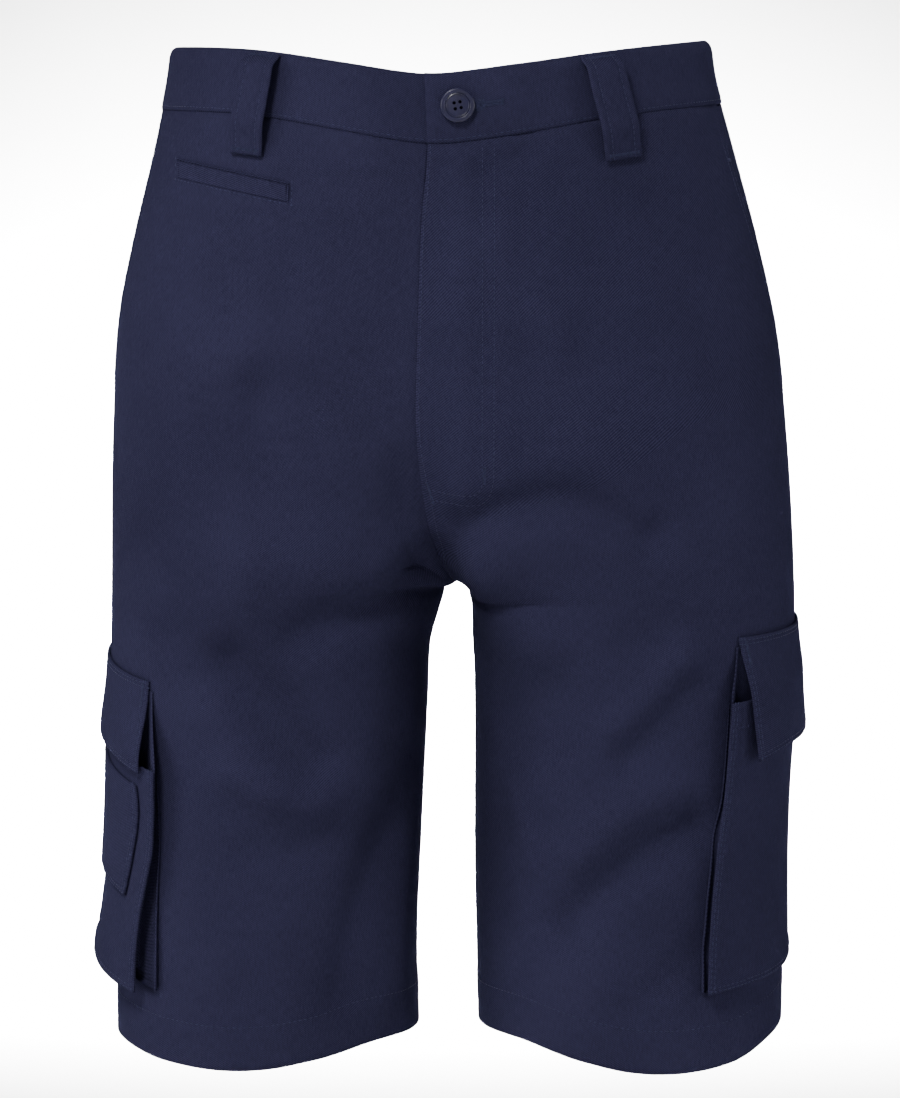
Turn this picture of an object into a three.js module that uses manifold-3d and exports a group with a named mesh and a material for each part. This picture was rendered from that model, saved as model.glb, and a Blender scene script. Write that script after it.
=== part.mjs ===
// Cargo shorts, filled out as worn. Millimetres, +Z up, the front faces -Y.
// Left and right are the viewer's, facing the front. The origin is the middle of the waistband.
import * as THREE from "three";
import { mergeVertices } from "three/addons/utils/BufferGeometryUtils.js";
import Module from "manifold-3d";

const wasm = await Module();
wasm.setup();

// Cloth and seams
const CLOTH = 1.5;
const BAND_CLOTH = 3.0;
const SEAM_GAP = 0.3;
const HEM_FOLD = 25;
const CROTCH_DROP = 280;
const HEM_DROP = 528;
const RISE_BLEND = 240;
const GAP_ARCH = { width: 7.2, height: 6 };
const ROUNDNESS = 2.35;

// Grid of one leg panel
const COLUMNS = 16;
const ROWS = { yoke: 4, rise: 8, arch: 3, leg: 9 };

// Section of the body at each drop below the waist: half widths left and right, depths front and back
const BODY = [
  { drop: -20, left: 153.5, right: 142.5, front: 118, back: 111 },
  { drop: 0, left: 156.0, right: 145.5, front: 120, back: 114 },
  { drop: 35, left: 163.0, right: 155.0, front: 122, back: 121 },
  { drop: 88, left: 175.5, right: 169.5, front: 125, back: 134 },
  { drop: 133, left: 184.0, right: 179.5, front: 126, back: 144 },
  { drop: 200, left: 188.0, right: 187.0, front: 124, back: 148 },
  { drop: 280, left: 189.2, right: 191.5, front: 112, back: 128 },
  { drop: 346, left: 190.0, right: 191.0, front: 103, back: 108 },
  { drop: 430, left: 188.0, right: 188.0, front: 97, back: 98 },
  { drop: 540, left: 188.0, right: 186.0, front: 94, back: 92 },
];

// Inner side of each leg below the crotch, from the middle
const INSEAM = [
  { drop: 286, left: 7.2, right: 7.2 },
  { drop: 312, left: 12.0, right: 11.5 },
  { drop: 346, left: 13.5, right: 13.5 },
  { drop: 430, left: 17.5, right: 13.5 },
  { drop: 480, left: 19.5, right: 13.8 },
  { drop: 540, left: 18.5, right: 15.5 },
];

// Drop of the hem edge round each leg, from the inseam through the back and the side to the front
const HEM = [
  { angle: -180, left: 528, right: 526 },
  { angle: -135, left: 523, right: 523 },
  { angle: -90, left: 524, right: 524 },
  { angle: -45, left: 526, right: 523 },
  { angle: 0, left: 529, right: 522 },
  { angle: 30, left: 530, right: 526 },
  { angle: 55, left: 533.5, right: 534.5 },
  { angle: 85, left: 536, right: 538 },
  { angle: 105, left: 531, right: 532 },
  { angle: 135, left: 524, right: 523 },
  { angle: 180, left: 528, right: 526 },
];

// Sideways place of the centre front line
const FRONT_LINE = [
  { drop: -20, across: -15 },
  { drop: 34, across: -12.5 },
  { drop: 75, across: -15.5 },
  { drop: 117, across: -17 },
  { drop: 180, across: -17 },
  { drop: 215, across: -13 },
  { drop: 250, across: -7.4 },
  { drop: 280, across: 2 },
  { drop: 312, across: 0 },
];
const FRONT_LINE_REACH = 90;

// Height of the waist's top edge, across the front and across the back
const WAIST_FRONT = [
  { across: -160, height: 15 },
  { across: -108, height: 14 },
  { across: -60, height: 8 },
  { across: -27, height: 3 },
  { across: -8, height: 1.5 },
  { across: 10, height: 3 },
  { across: 36, height: 6.5 },
  { across: 85, height: 13.5 },
  { across: 150, height: 21 },
];
const WAIST_BACK = [
  { across: -160, height: 15 },
  { across: -80, height: 7 },
  { across: 0, height: 2 },
  { across: 80, height: 9 },
  { across: 150, height: 21 },
];
const BAND = { side: 34, centre: 36.5, reach: 120, proud: 0.8, rows: 3, columns: 18 };

// Fly: the right front laps over the left and its doubled edge stands proud
const FLY = { lap: 1.7, width: 32, fade: 12, bottom: 205, under: 16, shield: 32 };
const BAND_LAP = { rise: 3.3, from: 30, fade: 26, under: 24 };

// Main creases: end points across and down, depth (negative is a ridge) and half width
const FOLDS = [
  { face: "front", x0: -10, d0: 256, x1: -92, d1: 292, depth: 3.0, width: 15 },
  { face: "front", x0: -140, d0: 305, x1: -72, d1: 357, depth: 2.6, width: 17 },
  { face: "front", x0: -50, d0: 385, x1: -58, d1: 462, depth: 2.4, width: 14 },
  { face: "front", x0: -81, d0: 150, x1: -34, d1: 200, depth: 2.4, width: 20 },
  { face: "front", x0: 6, d0: 250, x1: 60, d1: 300, depth: -2.2, width: 14 },
  { face: "front", x0: 142, d0: 303, x1: 96, d1: 334, depth: 3.0, width: 14 },
  { face: "front", x0: 137, d0: 367, x1: 61, d1: 428, depth: 3.6, width: 15 },
  { face: "front", x0: 128, d0: 392, x1: 78, d1: 446, depth: -1.8, width: 14 },
  { face: "front", x0: 18, d0: 228, x1: 56, d1: 211, depth: 1.8, width: 10 },
  { face: "back", x0: -16, d0: 262, x1: -104, d1: 296, depth: 3.4, width: 16 },
  { face: "back", x0: 16, d0: 258, x1: 98, d1: 300, depth: 3.2, width: 17 },
  { face: "back", x0: -128, d0: 318, x1: -64, d1: 372, depth: 2.8, width: 17 },
  { face: "back", x0: 132, d0: 336, x1: 70, d1: 398, depth: 3.0, width: 16 },
  { face: "back", x0: -54, d0: 400, x1: -66, d1: 470, depth: 2.2, width: 14 },
];

// Cargo pocket on the outside of each leg. Angles run round the leg from its side, front positive
const POCKET = {
  left: {
    back: -50, top: 354, bottom: 480, edge: 11, sideTop: 1.9, sideBottom: 14, fold: 8,
    flapFront: 52, flapCorner: 50.5, flapBack: -52, flapTop: 315, flapBottom: 360, flare: 2.2, dip: 1,
    tiltTop: 10, tiltBottom: 22,
  },
  right: {
    back: -44, top: 330, bottom: 484, edge: 7.5, sideTop: 1.9, sideBottom: 3.2, fold: 4,
    flapFront: 57.7, flapCorner: 53.2, flapBack: -47, flapTop: 297, flapBottom: 357, flare: 4.5, dip: 5,
    tiltTop: 2, tiltBottom: 13,
  },
};
const FLAP_DIP = { from: 0.78, power: 1.5 };

// Front edge of each bag from mouth to bottom: its angle, and how far the gusset's foot lies before it
const POCKET_FRONT = [
  { down: 0, left: 59.3, right: 63, footLeft: -9.5, footRight: -2 },
  { down: 0.33, left: 57.3, right: 64.6, footLeft: -5.5, footRight: -2 },
  { down: 0.5, left: 54.5, right: 66.8, footLeft: -1.5, footRight: -2 },
  { down: 0.67, left: 51, right: 68.4, footLeft: 3.5, footRight: -2 },
  { down: 0.83, left: 49.2, right: 69.3, footLeft: 6, footRight: -2 },
  { down: 1, left: 48.4, right: 69.4, footLeft: 6.5, footRight: -1.5 },
];
const POCKET_TILT = { angle: 60, back: 0.3, from: 300, to: 490 };
const POCKET_GRID = { columns: 12, rows: 8, edge: 8, bottom: 10, fold: 4 };
const FLAP = { cloth: 2, columns: 14, rows: 5, seat: 0.6, clear: 1 };
const PHONE_POCKET = { back: -4, drop: 431, columns: 6, rows: 6 };
const PHONE_FRONT = [
  { down: 0, angle: 47.5 },
  { down: 0.2, angle: 48.6 },
  { down: 0.4, angle: 47.4 },
  { down: 0.6, angle: 45.2 },
  { down: 0.8, angle: 43 },
  { down: 1, angle: 40.5 },
];
const LEG_ROUND = 95;

// Belt loops: side, angle round the waist at the head and at the foot
const LOOPS = [
  { name: "belt_loop_front_left", side: -1, head: 56, foot: 52.5 },
  { name: "belt_loop_front_right", side: 1, head: 63.5, foot: 58.5 },
  { name: "belt_loop_back_left", side: -1, head: -50, foot: -49 },
  { name: "belt_loop_back_right", side: 1, head: -50, foot: -49 },
  { name: "belt_loop_back", side: 1, head: -90, foot: -90 },
];
const LOOP = {
  width: 18, cloth: 1.8, gap: 6.4, foot: 20, rows: 12, columns: 3, rise: [0.08, 0.26], fall: [0.84, 0.98],
};

// Small welt pocket below the band on the left
const WELT = { x0: -146.5, d0: 43, x1: -85.5, d1: 55.5, height: 10, cloth: 1.2, columns: 8, rows: 2 };

// Slanting side pockets: angle of the mouth at the band, the drop where it closes, and the facing behind
const MOUTH = { left: 9, right: 17, top: 30, bottom: 178 };
const FACING = { lap: 11, columns: 5, rows: 8 };

const BUTTON = {
  across: 12.8, drop: 15.4, radius: 9, thick: 3, dish: 1, rim: 1.8, hole: 0.9, spread: 2.6, segments: 32,
};

const NAVY = 0x20243d;
const NAVY_TRIM = 0x262b48;
const BUTTON_NAVY = 0x23273f;

const radians = THREE.MathUtils.degToRad;
const { clamp, lerp, smoothstep } = THREE.MathUtils;

// Smooth curve through the rows of a table
function tableAt(table, key, name, at) {
  const last = table.length - 1;
  const place = clamp(at, table[0][key], table[last][key]);
  let row = 0;
  while (row < last - 1 && place > table[row + 1][key]) row += 1;
  const slope = (i) => {
    const low = table[Math.max(0, i - 1)];
    const high = table[Math.min(last, i + 1)];
    return (high[name] - low[name]) / (high[key] - low[key]);
  };
  const a = table[row];
  const b = table[row + 1];
  const span = b[key] - a[key];
  const t = (place - a[key]) / span;
  const t2 = t * t;
  const t3 = t2 * t;
  return (2 * t3 - 3 * t2 + 1) * a[name] + (t3 - 2 * t2 + t) * span * slope(row)
    + (3 * t2 - 2 * t3) * b[name] + (t3 - t2) * span * slope(row + 1);
}

const sideName = (side) => (side < 0 ? "left" : "right");
const signedPower = (value, power) => Math.sign(value) * Math.abs(value) ** power;

// Oval of one side at a height: its middle, half width, and the angle where it meets the other side
function sectionAt(side, z) {
  const drop = -z;
  const outer = tableAt(BODY, "drop", sideName(side), drop);
  const above = CROTCH_DROP - drop;
  let inner;
  if (above >= 0) {
    const t = Math.min(1, above / RISE_BLEND);
    inner = -outer * t * (2 - t);
  } else {
    const t = Math.min(1, -above / GAP_ARCH.height);
    const arch = GAP_ARCH.width * Math.sqrt(1 - (1 - t) ** 2);
    inner = t < 1 ? arch : tableAt(INSEAM, "drop", sideName(side), drop);
  }
  const middle = (outer + inner) / 2;
  const half = (outer - inner) / 2;
  const meet = inner >= 0 ? Math.PI : Math.acos(-((middle / half) ** (ROUNDNESS / 2)));
  const front = tableAt(BODY, "drop", "front", drop);
  const back = tableAt(BODY, "drop", "back", drop);
  return { middle, half, meet, front, back };
}

function foldDepth(face, x, drop) {
  let depth = 0;
  for (const fold of FOLDS) {
    if (fold.face !== face) continue;
    const along = new THREE.Vector2(fold.x1 - fold.x0, fold.d1 - fold.d0);
    const from = new THREE.Vector2(x - fold.x0, drop - fold.d0);
    const t = clamp(from.dot(along) / along.lengthSq(), 0, 1);
    const away = from.addScaledVector(along, -t).length() / fold.width;
    depth += fold.depth * Math.exp(-away * away);
  }
  return depth;
}

// Point of the plain body form; the angle runs from the side seam, front positive, back negative
function formPoint(side, angle, z) {
  const s = sectionAt(side, z);
  const power = 2 / ROUNDNESS;
  const depth = angle >= 0 ? -s.front : s.back;
  const x = side * (s.middle + s.half * signedPower(Math.cos(angle), power));
  const y = depth * signedPower(Math.sin(Math.abs(angle)), power);
  const reach = Math.max(0, 1 - Math.abs(x) / FRONT_LINE_REACH) ** 2;
  const drop = -z;
  const low = smoothstep(drop, CROTCH_DROP - 60, CROTCH_DROP);
  const line = tableAt(FRONT_LINE, "drop", "across", drop);
  const shift = y <= 0 ? line : line * low;
  return new THREE.Vector3(x + shift * reach, y, z);
}

function formNormal(side, angle, z) {
  const turn = 0.01;
  const step = 1;
  const round = formPoint(side, angle + turn, z).sub(formPoint(side, angle - turn, z));
  const down = formPoint(side, angle, z - step).sub(formPoint(side, angle, z + step));
  return round.cross(down).multiplyScalar(side).normalize();
}

// Point of the cloth's outer face, creased, and moved out by a distance
function clothPoint(side, angle, z, out) {
  const point = formPoint(side, angle, z);
  const face = angle >= 0 ? "front" : "back";
  const edge = Math.min(1, Math.abs(angle) / 0.3);
  const crease = foldDepth(face, point.x, -z) * edge;
  return point.addScaledVector(formNormal(side, angle, z), out - crease);
}

// Closed wall between two grids of points
function wall(columns, rows, outerAt, innerAt) {
  const positions = [];
  const index = [];
  const width = columns + 1;
  const count = width * (rows + 1);
  for (const at of [outerAt, innerAt]) {
    for (let r = 0; r <= rows; r += 1) {
      for (let c = 0; c <= columns; c += 1) positions.push(...at(c / columns, r / rows, c, r).toArray());
    }
  }
  const quad = (a, b, c, d) => index.push(a, b, c, a, c, d);
  for (let r = 0; r < rows; r += 1) {
    for (let c = 0; c < columns; c += 1) {
      const a = r * width + c;
      quad(a, a + 1, a + 1 + width, a + width);
      quad(count + a, count + a + width, count + a + 1 + width, count + a + 1);
    }
  }
  const rim = [];
  for (let c = 0; c < columns; c += 1) rim.push(c);
  for (let r = 0; r < rows; r += 1) rim.push(r * width + columns);
  for (let c = columns; c > 0; c -= 1) rim.push(rows * width + c);
  for (let r = rows; r > 0; r -= 1) rim.push(r * width);
  rim.forEach((a, i) => {
    const b = rim[(i + 1) % rim.length];
    quad(b, a, count + a, count + b);
  });
  const geometry = new THREE.BufferGeometry();
  geometry.setAttribute("position", new THREE.Float32BufferAttribute(positions, 3));
  geometry.setIndex(signedVolume(positions, index) < 0 ? index.reverse() : index);
  geometry.computeVertexNormals();
  return geometry;
}

function signedVolume(positions, index) {
  const at = (i) => new THREE.Vector3().fromArray(positions, 3 * i);
  let volume = 0;
  for (let i = 0; i < index.length; i += 3) {
    volume += at(index[i]).dot(at(index[i + 1]).cross(at(index[i + 2])));
  }
  return volume;
}

// Height of the waist's top edge and of the seam under the band, at an angle round the waist
function waistTop(side, angle) {
  const x = formPoint(side, angle, -BAND.side / 2).x;
  return tableAt(angle >= 0 ? WAIST_FRONT : WAIST_BACK, "across", "height", x);
}

function bandSeam(side, angle) {
  const x = formPoint(side, angle, -BAND.side / 2).x;
  const outward = smoothstep(Math.abs(x), 0, BAND.reach);
  return waistTop(side, angle) - lerp(BAND.centre, BAND.side, outward);
}

// Height of the hem edge round a leg
function hemHeight(side, angle) {
  return -tableAt(HEM, "angle", sideName(side), THREE.MathUtils.radToDeg(angle));
}

// Row heights of a panel: close together where the crotch turns under
function rowHeights() {
  const inner = [];
  const rise = 150;
  const seam = 34;
  const { yoke, rise: riseRows, arch, leg } = ROWS;
  const foldTop = HEM_DROP - HEM_FOLD;
  for (let i = 0; i < yoke; i += 1) inner.push(lerp(seam, CROTCH_DROP - rise, i / yoke));
  for (let i = 0; i < riseRows; i += 1) inner.push(CROTCH_DROP - rise * (1 - i / riseRows) ** 3);
  for (let i = 0; i < arch; i += 1) {
    inner.push(CROTCH_DROP + GAP_ARCH.height * (1 - Math.cos((Math.PI / 2) * (i / arch))));
  }
  const legTop = CROTCH_DROP + GAP_ARCH.height;
  for (let i = 0; i <= leg; i += 1) inner.push(lerp(legTop, foldTop, i / leg));
  const last = inner.length - 1;
  const outer = inner.map((_, i) => lerp(seam, foldTop, i / last));
  for (const list of [inner, outer]) list.push(foldTop + 1, HEM_DROP);
  return { inner, outer, foldRow: last };
}

// A leg panel runs from the side seam to the centre line or the inseam
function legPanel(side, face) {
  const { inner, outer, foldRow } = rowHeights();
  const rows = inner.length - 1;
  const sign = face === "front" ? 1 : -1;
  const place = (c, r) => {
    const u = c / COLUMNS;
    const toSide = smoothstep(u, 0, 0.55);
    let drop = lerp(inner[r], outer[r], toSide);
    const trim = SEAM_GAP / 2 / LEG_ROUND;
    const mouthAt = (d) => (face === "front" ? Math.max(trim, mouthAngle(side, d)) : trim);
    const seamAngle = sign * lerp(Math.PI / 2 - trim, mouthAt(BAND.side), u);
    const top = -bandSeam(side, seamAngle) + SEAM_GAP;
    drop += (top - outer[0]) * Math.max(0, 1 - r / ROWS.yoke);
    const nearHem = smoothstep(r, foldRow - 4, foldRow);
    drop += (-hemHeight(side, sign * Math.PI * (1 - u)) - HEM_DROP) * nearHem;
    const meet = sectionAt(side, -drop).meet;
    return { angle: sign * lerp(meet - trim, mouthAt(drop), u), drop };
  };
  const point = (c, r, depth) => {
    const { angle, drop } = place(c, r);
    const raised = side > 0 && face === "front" ? flyRaise(angle, drop) : 0;
    const cut = clothPoint(side, angle, -drop, raised - depth);
    if (drop <= CROTCH_DROP + 1 && c === 0) {
      const line = formPoint(side, angle, -drop).x;
      cut.x = side > 0 ? Math.max(cut.x, line) : Math.min(cut.x, line);
    }
    return cut;
  };
  const outerAt = (u, v, c, r) => point(c, r, 0);
  const innerAt = (u, v, c, r) => point(c, r, r > foldRow ? 2 * CLOTH : CLOTH);
  return wall(COLUMNS, rows, outerAt, innerAt);
}

// The doubled fly edge of the right front
function flyRaise(angle, drop) {
  const s = sectionAt(1, -drop);
  const x = s.middle + s.half * signedPower(Math.cos(angle), 2 / ROUNDNESS);
  const across = 1 - smoothstep(x, FLY.width, FLY.width + FLY.fade);
  const down = 1 - smoothstep(drop, FLY.bottom, FLY.bottom + 25);
  return FLY.lap * across * down;
}

// Edge of the slanting pocket mouth
function mouthAngle(side, drop) {
  const t = clamp((drop - MOUTH.top) / (MOUTH.bottom - MOUTH.top), 0, 1);
  return radians(MOUTH[sideName(side)]) * (1 - t ** 1.5);
}

// The piece of cloth behind a slanting mouth, from the side seam to under the front
function pocketFacing(side) {
  const trim = SEAM_GAP / 2 / LEG_ROUND;
  const lap = radians(FACING.lap);
  const angleAt = (c, mouth) => {
    const start = Math.max(2 * trim, mouth * 0.8);
    return c === 0 ? trim : lerp(start, mouth + lap, (c - 1) / (FACING.columns - 1));
  };
  const at = (c, v, extra) => {
    const top = angleAt(c, mouthAngle(side, BAND.side));
    const drop = lerp(SEAM_GAP - bandSeam(side, top), MOUTH.bottom - 6, v);
    const under = c === 0 ? 0 : CLOTH + 2 * SEAM_GAP;
    return clothPoint(side, angleAt(c, mouthAngle(side, drop)), -drop, -under - extra);
  };
  return wall(FACING.columns, FACING.rows, (u, v, c) => at(c, v, 0), (u, v, c) => at(c, v, CLOTH));
}

// Angle of the point that lies a distance across from the middle
function angleAcross(side, drop, x) {
  const s = sectionAt(side, -drop);
  return Math.acos(clamp(signedPower((side * x - s.middle) / s.half, ROUNDNESS / 2), -1, 1));
}

// The strip under the fly opening
function flyShield() {
  const at = (u, v, extra) => {
    const drop = lerp(BAND.centre + 1, FLY.bottom - 8, v);
    const x = lerp(-FLY.under, FLY.shield, u);
    const side = x < 0 ? -1 : 1;
    return clothPoint(side, angleAcross(side, drop, x), -drop, -CLOTH - 3 * SEAM_GAP - extra);
  };
  return wall(8, 8, (u, v) => at(u, v, 0), (u, v) => at(u, v, CLOTH));
}

// Half of the waistband, from the centre back round the side to the fly
function waistband(side) {
  const quarter = Math.PI / 2;
  const trim = SEAM_GAP / 2 / LEG_ROUND;
  const frontEnd = side < 0 ? quarter + radians(BAND_LAP.under / 4) : quarter;
  const at = (u, v, depth) => {
    const angle = lerp(trim - quarter, frontEnd, u);
    const low = bandSeam(side, angle) + (angle > quarter ? 4 * SEAM_GAP : 0);
    const height = lerp(low, waistTop(side, angle), v);
    const plain = Math.abs(sectionAt(side, height).half * Math.cos(angle) ** (2 / ROUNDNESS));
    const near = angle > 0 ? 1 - smoothstep(plain, BAND_LAP.from, BAND_LAP.from + BAND_LAP.fade) : 0;
    const lap = side > 0 ? BAND_LAP.rise * near : 0;
    return clothPoint(side, angle, height, BAND.proud + lap - depth);
  };
  return wall(BAND.columns * 2, BAND.rows, (u, v) => at(u, v, 0), (u, v) => at(u, v, BAND_CLOTH));
}

// A belt loop is tacked below the band, stands off for the belt, and is tacked at the top edge
function beltLoop({ side, head, foot }) {
  const at = (u, v, thick) => {
    const angle = radians(lerp(foot, head, v)) + (u - 0.5) * LOOP.width * turnPerLength(side, radians(head));
    const height = lerp(bandSeam(side, angle) - LOOP.foot, waistTop(side, angle) - 1, v);
    const lift = LOOP.gap * smoothstep(v, ...LOOP.rise) * (1 - smoothstep(v, ...LOOP.fall));
    const seat = lerp(SEAM_GAP, BAND.proud + SEAM_GAP, smoothstep(v, ...LOOP.rise));
    return clothPoint(side, angle, height, seat + lift + thick);
  };
  return wall(LOOP.columns, LOOP.rows, (u, v) => at(u, v, LOOP.cloth), (u, v) => at(u, v, 0));
}

// Radians of angle for each millimetre round the waist
function turnPerLength(side, angle) {
  const step = 0.02;
  const before = formPoint(side, angle - step, 0);
  return (2 * step) / before.distanceTo(formPoint(side, angle + step, 0));
}

// The small welt pocket
function weltPocket() {
  const at = (u, v, out) => {
    const drop = lerp(WELT.d0, WELT.d1, u) + v * WELT.height;
    const x = lerp(WELT.x0, WELT.x1, u);
    return clothPoint(-1, angleAcross(-1, drop, x), -drop, out);
  };
  const top = SEAM_GAP + WELT.cloth;
  return wall(WELT.columns, WELT.rows, (u, v) => at(u, v, top), (u, v) => at(u, v, SEAM_GAP));
}

// Cargo pocket: how far its lines fall towards the front, more at the bottom
function tiltAt(p, angle, drop) {
  const share = angle / radians(POCKET_TILT.angle);
  const down = clamp((drop - POCKET_TILT.from) / (POCKET_TILT.to - POCKET_TILT.from), 0, 1);
  return lerp(p.tiltTop, p.tiltBottom, down) * share * (share > 0 ? 1 : POCKET_TILT.back);
}

// A point on the pocket bag's grid: v runs down from the mouth
function bagPlace(side, u, v, spread) {
  const p = POCKET[sideName(side)];
  const front = radians(tableAt(POCKET_FRONT, "down", sideName(side), v)) + spread / LEG_ROUND;
  const back = radians(p.back) - spread / LEG_ROUND;
  const angle = lerp(back, front, u);
  const drop = lerp(p.top, p.bottom, v);
  return { angle, drop: drop + tiltAt(p, angle, drop), out: bagOut(p, u, v) };
}

// How far the bag stands off the leg: most at its gusseted edges
function bagOut(p, u, v) {
  const middle = lerp(p.sideTop, p.sideBottom, v * v);
  return lerp(middle, p.edge, Math.abs(2 * u - 1) ** 2.5);
}

function pocketBag(side) {
  const at = (u, v, depth) => {
    const place = bagPlace(side, u, v, 0);
    return clothPoint(side, place.angle, -place.drop, place.out - depth);
  };
  const { columns, rows } = POCKET_GRID;
  return wall(columns, rows, (u, v) => at(u, v, 0), (u, v) => at(u, v, CLOTH));
}

// The gusset joins the bag's front, bottom and back edges to the leg with one inward fold
function pocketGusset(side) {
  const p = POCKET[sideName(side)];
  const { edge, bottom, fold } = POCKET_GRID;
  const steps = edge * 2 + bottom;
  const footName = side < 0 ? "footLeft" : "footRight";
  const at = (c, v, inset) => {
    const corner = c < edge ? 0 : c > edge + bottom ? 2 : 1;
    const down = corner === 0 ? c / edge : corner === 1 ? 1 : (steps - c) / edge;
    const u = corner === 0 ? 1 : corner === 1 ? 1 - (c - edge) / bottom : 0;
    const foot = tableAt(POCKET_FRONT, "down", footName, down) * (1 - v) - p.fold * Math.sin(Math.PI * v);
    const spread = foot - inset;
    const place = bagPlace(side, u, down, spread);
    const out = lerp(0.4, place.out - CLOTH - 0.4, v);
    return clothPoint(side, place.angle, -place.drop - spread * down, out);
  };
  const cloth = 1.2;
  return wall(steps, fold, (u, v, c) => at(c, v, 0), (u, v, c) => at(c, v, cloth));
}

// The flap is sewn to the leg above the mouth and hangs over the bag
function pocketFlap(side) {
  const p = POCKET[sideName(side)];
  const reach = (p.top - p.flapTop) / (p.flapBottom - p.flapTop) - 0.06;
  const at = (u, v, depth) => {
    const angle = radians(lerp(p.flapBack, lerp(p.flapFront, p.flapCorner, v), u));
    const line = lerp(p.flapTop, p.flapBottom, v);
    const corner = clamp((u - FLAP_DIP.from) / (1 - FLAP_DIP.from), 0, 1);
    const drop = line + tiltAt(p, angle, line) + p.dip * v * corner ** FLAP_DIP.power;
    const across = (angle - radians(p.back)) / radians(POCKET_FRONT[0][sideName(side)] - p.back);
    const over = bagOut(p, clamp(across, 0, 1), 0) + FLAP.clear + p.flare * v * v;
    const inner = lerp(FLAP.seat, over, smoothstep(v, 0, reach));
    return clothPoint(side, angle, -drop, inner + FLAP.cloth - depth);
  };
  return wall(FLAP.columns, FLAP.rows, (u, v) => at(u, v, 0), (u, v) => at(u, v, FLAP.cloth));
}

// The narrow pocket laid on the left bag, its front corner cut back
function phonePocket() {
  const p = POCKET.left;
  const across = (degrees, v) => (degrees - p.back) / (tableAt(POCKET_FRONT, "down", "left", v) - p.back);
  const end = (PHONE_POCKET.drop - p.top) / (p.bottom - p.top);
  const at = (u, v, depth) => {
    const down = lerp(0.09, end, v);
    const front = tableAt(PHONE_FRONT, "down", "angle", v);
    const s = lerp(across(PHONE_POCKET.back, down), across(front, down), u);
    const place = bagPlace(-1, s, down, 0);
    return clothPoint(-1, place.angle, -place.drop, place.out + SEAM_GAP + CLOTH - depth);
  };
  const { columns, rows } = PHONE_POCKET;
  return wall(columns, rows, (u, v) => at(u, v, 0), (u, v) => at(u, v, CLOTH));
}

// Four-hole button with a raised rim, on the lapped end of the band
function button() {
  const { radius, thick, dish, rim, hole, spread, segments } = BUTTON;
  const profile = [
    [0, 0], [radius - 0.8, 0], [radius, 0.8], [radius, thick - 0.6], [radius - 0.6, thick],
    [radius - rim, thick], [radius - rim - 0.9, thick - dish], [0, thick - dish],
  ].map(([r, y]) => new THREE.Vector2(r, y));
  let body = solidFrom(new THREE.LatheGeometry(profile, segments).rotateX(Math.PI / 2));
  for (let i = 0; i < 4; i += 1) {
    const turn = Math.PI / 4 + (i * Math.PI) / 2 + 0.2;
    const drill = new THREE.CylinderGeometry(hole, hole, thick * 3, 10).rotateX(Math.PI / 2);
    const reach = spread * Math.SQRT1_2 * 1.2;
    body = body.subtract(solidFrom(drill.translate(reach * Math.cos(turn), reach * Math.sin(turn), 0)));
  }
  return geometryFrom(body);
}

function solidFrom(geometry) {
  const bare = geometry.clone();
  bare.deleteAttribute("normal");
  bare.deleteAttribute("uv");
  const merged = mergeVertices(bare, 1e-4);
  const position = merged.attributes.position.array;
  const index = Array.from(merged.index.array);
  const triangles = [];
  for (let i = 0; i < index.length; i += 3) {
    const [a, b, c] = index.slice(i, i + 3);
    if (a !== b && b !== c && c !== a) triangles.push(a, b, c);
  }
  const positions = Array.from(position);
  if (signedVolume(positions, triangles) < 0) triangles.reverse();
  return new wasm.Manifold(new wasm.Mesh({
    numProp: 3, vertProperties: Float32Array.from(positions), triVerts: Uint32Array.from(triangles),
  }));
}

function geometryFrom(solid) {
  const mesh = solid.getMesh();
  const geometry = new THREE.BufferGeometry();
  geometry.setAttribute("position", new THREE.BufferAttribute(mesh.vertProperties, 3));
  geometry.setIndex(Array.from(mesh.triVerts));
  geometry.computeVertexNormals();
  return geometry;
}

function material(color, roughness) {
  return new THREE.MeshStandardMaterial({ color, roughness, metalness: 0 });
}

const navyCloth = material(NAVY, 0.85);
const navyTrim = material(NAVY_TRIM, 0.85);
const buttonPlastic = material(BUTTON_NAVY, 0.4);
const group = new THREE.Group();

function add(name, geometry, finish) {
  const mesh = new THREE.Mesh(geometry, finish.clone());
  mesh.name = name;
  group.add(mesh);
}

for (const side of [-1, 1]) {
  const name = sideName(side);
  for (const face of ["front", "back"]) add(`${face}_${name}`, legPanel(side, face), navyCloth);
  add(`waistband_${name}`, waistband(side), navyCloth);
  add(`pocket_facing_${name}`, pocketFacing(side), navyCloth);
  add(`cargo_bag_${name}`, pocketBag(side), navyTrim);
  add(`cargo_gusset_${name}`, pocketGusset(side), navyTrim);
  add(`cargo_flap_${name}`, pocketFlap(side), navyTrim);
}
add("fly_shield", flyShield(), navyCloth);
add("welt_pocket", weltPocket(), navyTrim);
add("phone_pocket", phonePocket(), navyTrim);
for (const loop of LOOPS) add(loop.name, beltLoop(loop), navyTrim);

const buttonMesh = new THREE.Mesh(button(), buttonPlastic);
buttonMesh.name = "button";
const buttonAngle = angleAcross(1, BUTTON.drop, BUTTON.across);
const buttonOut = BAND.proud + BAND_LAP.rise + 2 * SEAM_GAP;
buttonMesh.position.copy(clothPoint(1, buttonAngle, -BUTTON.drop, buttonOut));
buttonMesh.quaternion.setFromUnitVectors(new THREE.Vector3(0, 0, 1), formNormal(1, buttonAngle, -BUTTON.drop));
group.add(buttonMesh);

export default group;
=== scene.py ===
import math

import bmesh
import bpy
import numpy as np
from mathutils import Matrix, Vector
from mathutils.bvhtree import BVHTree


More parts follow.
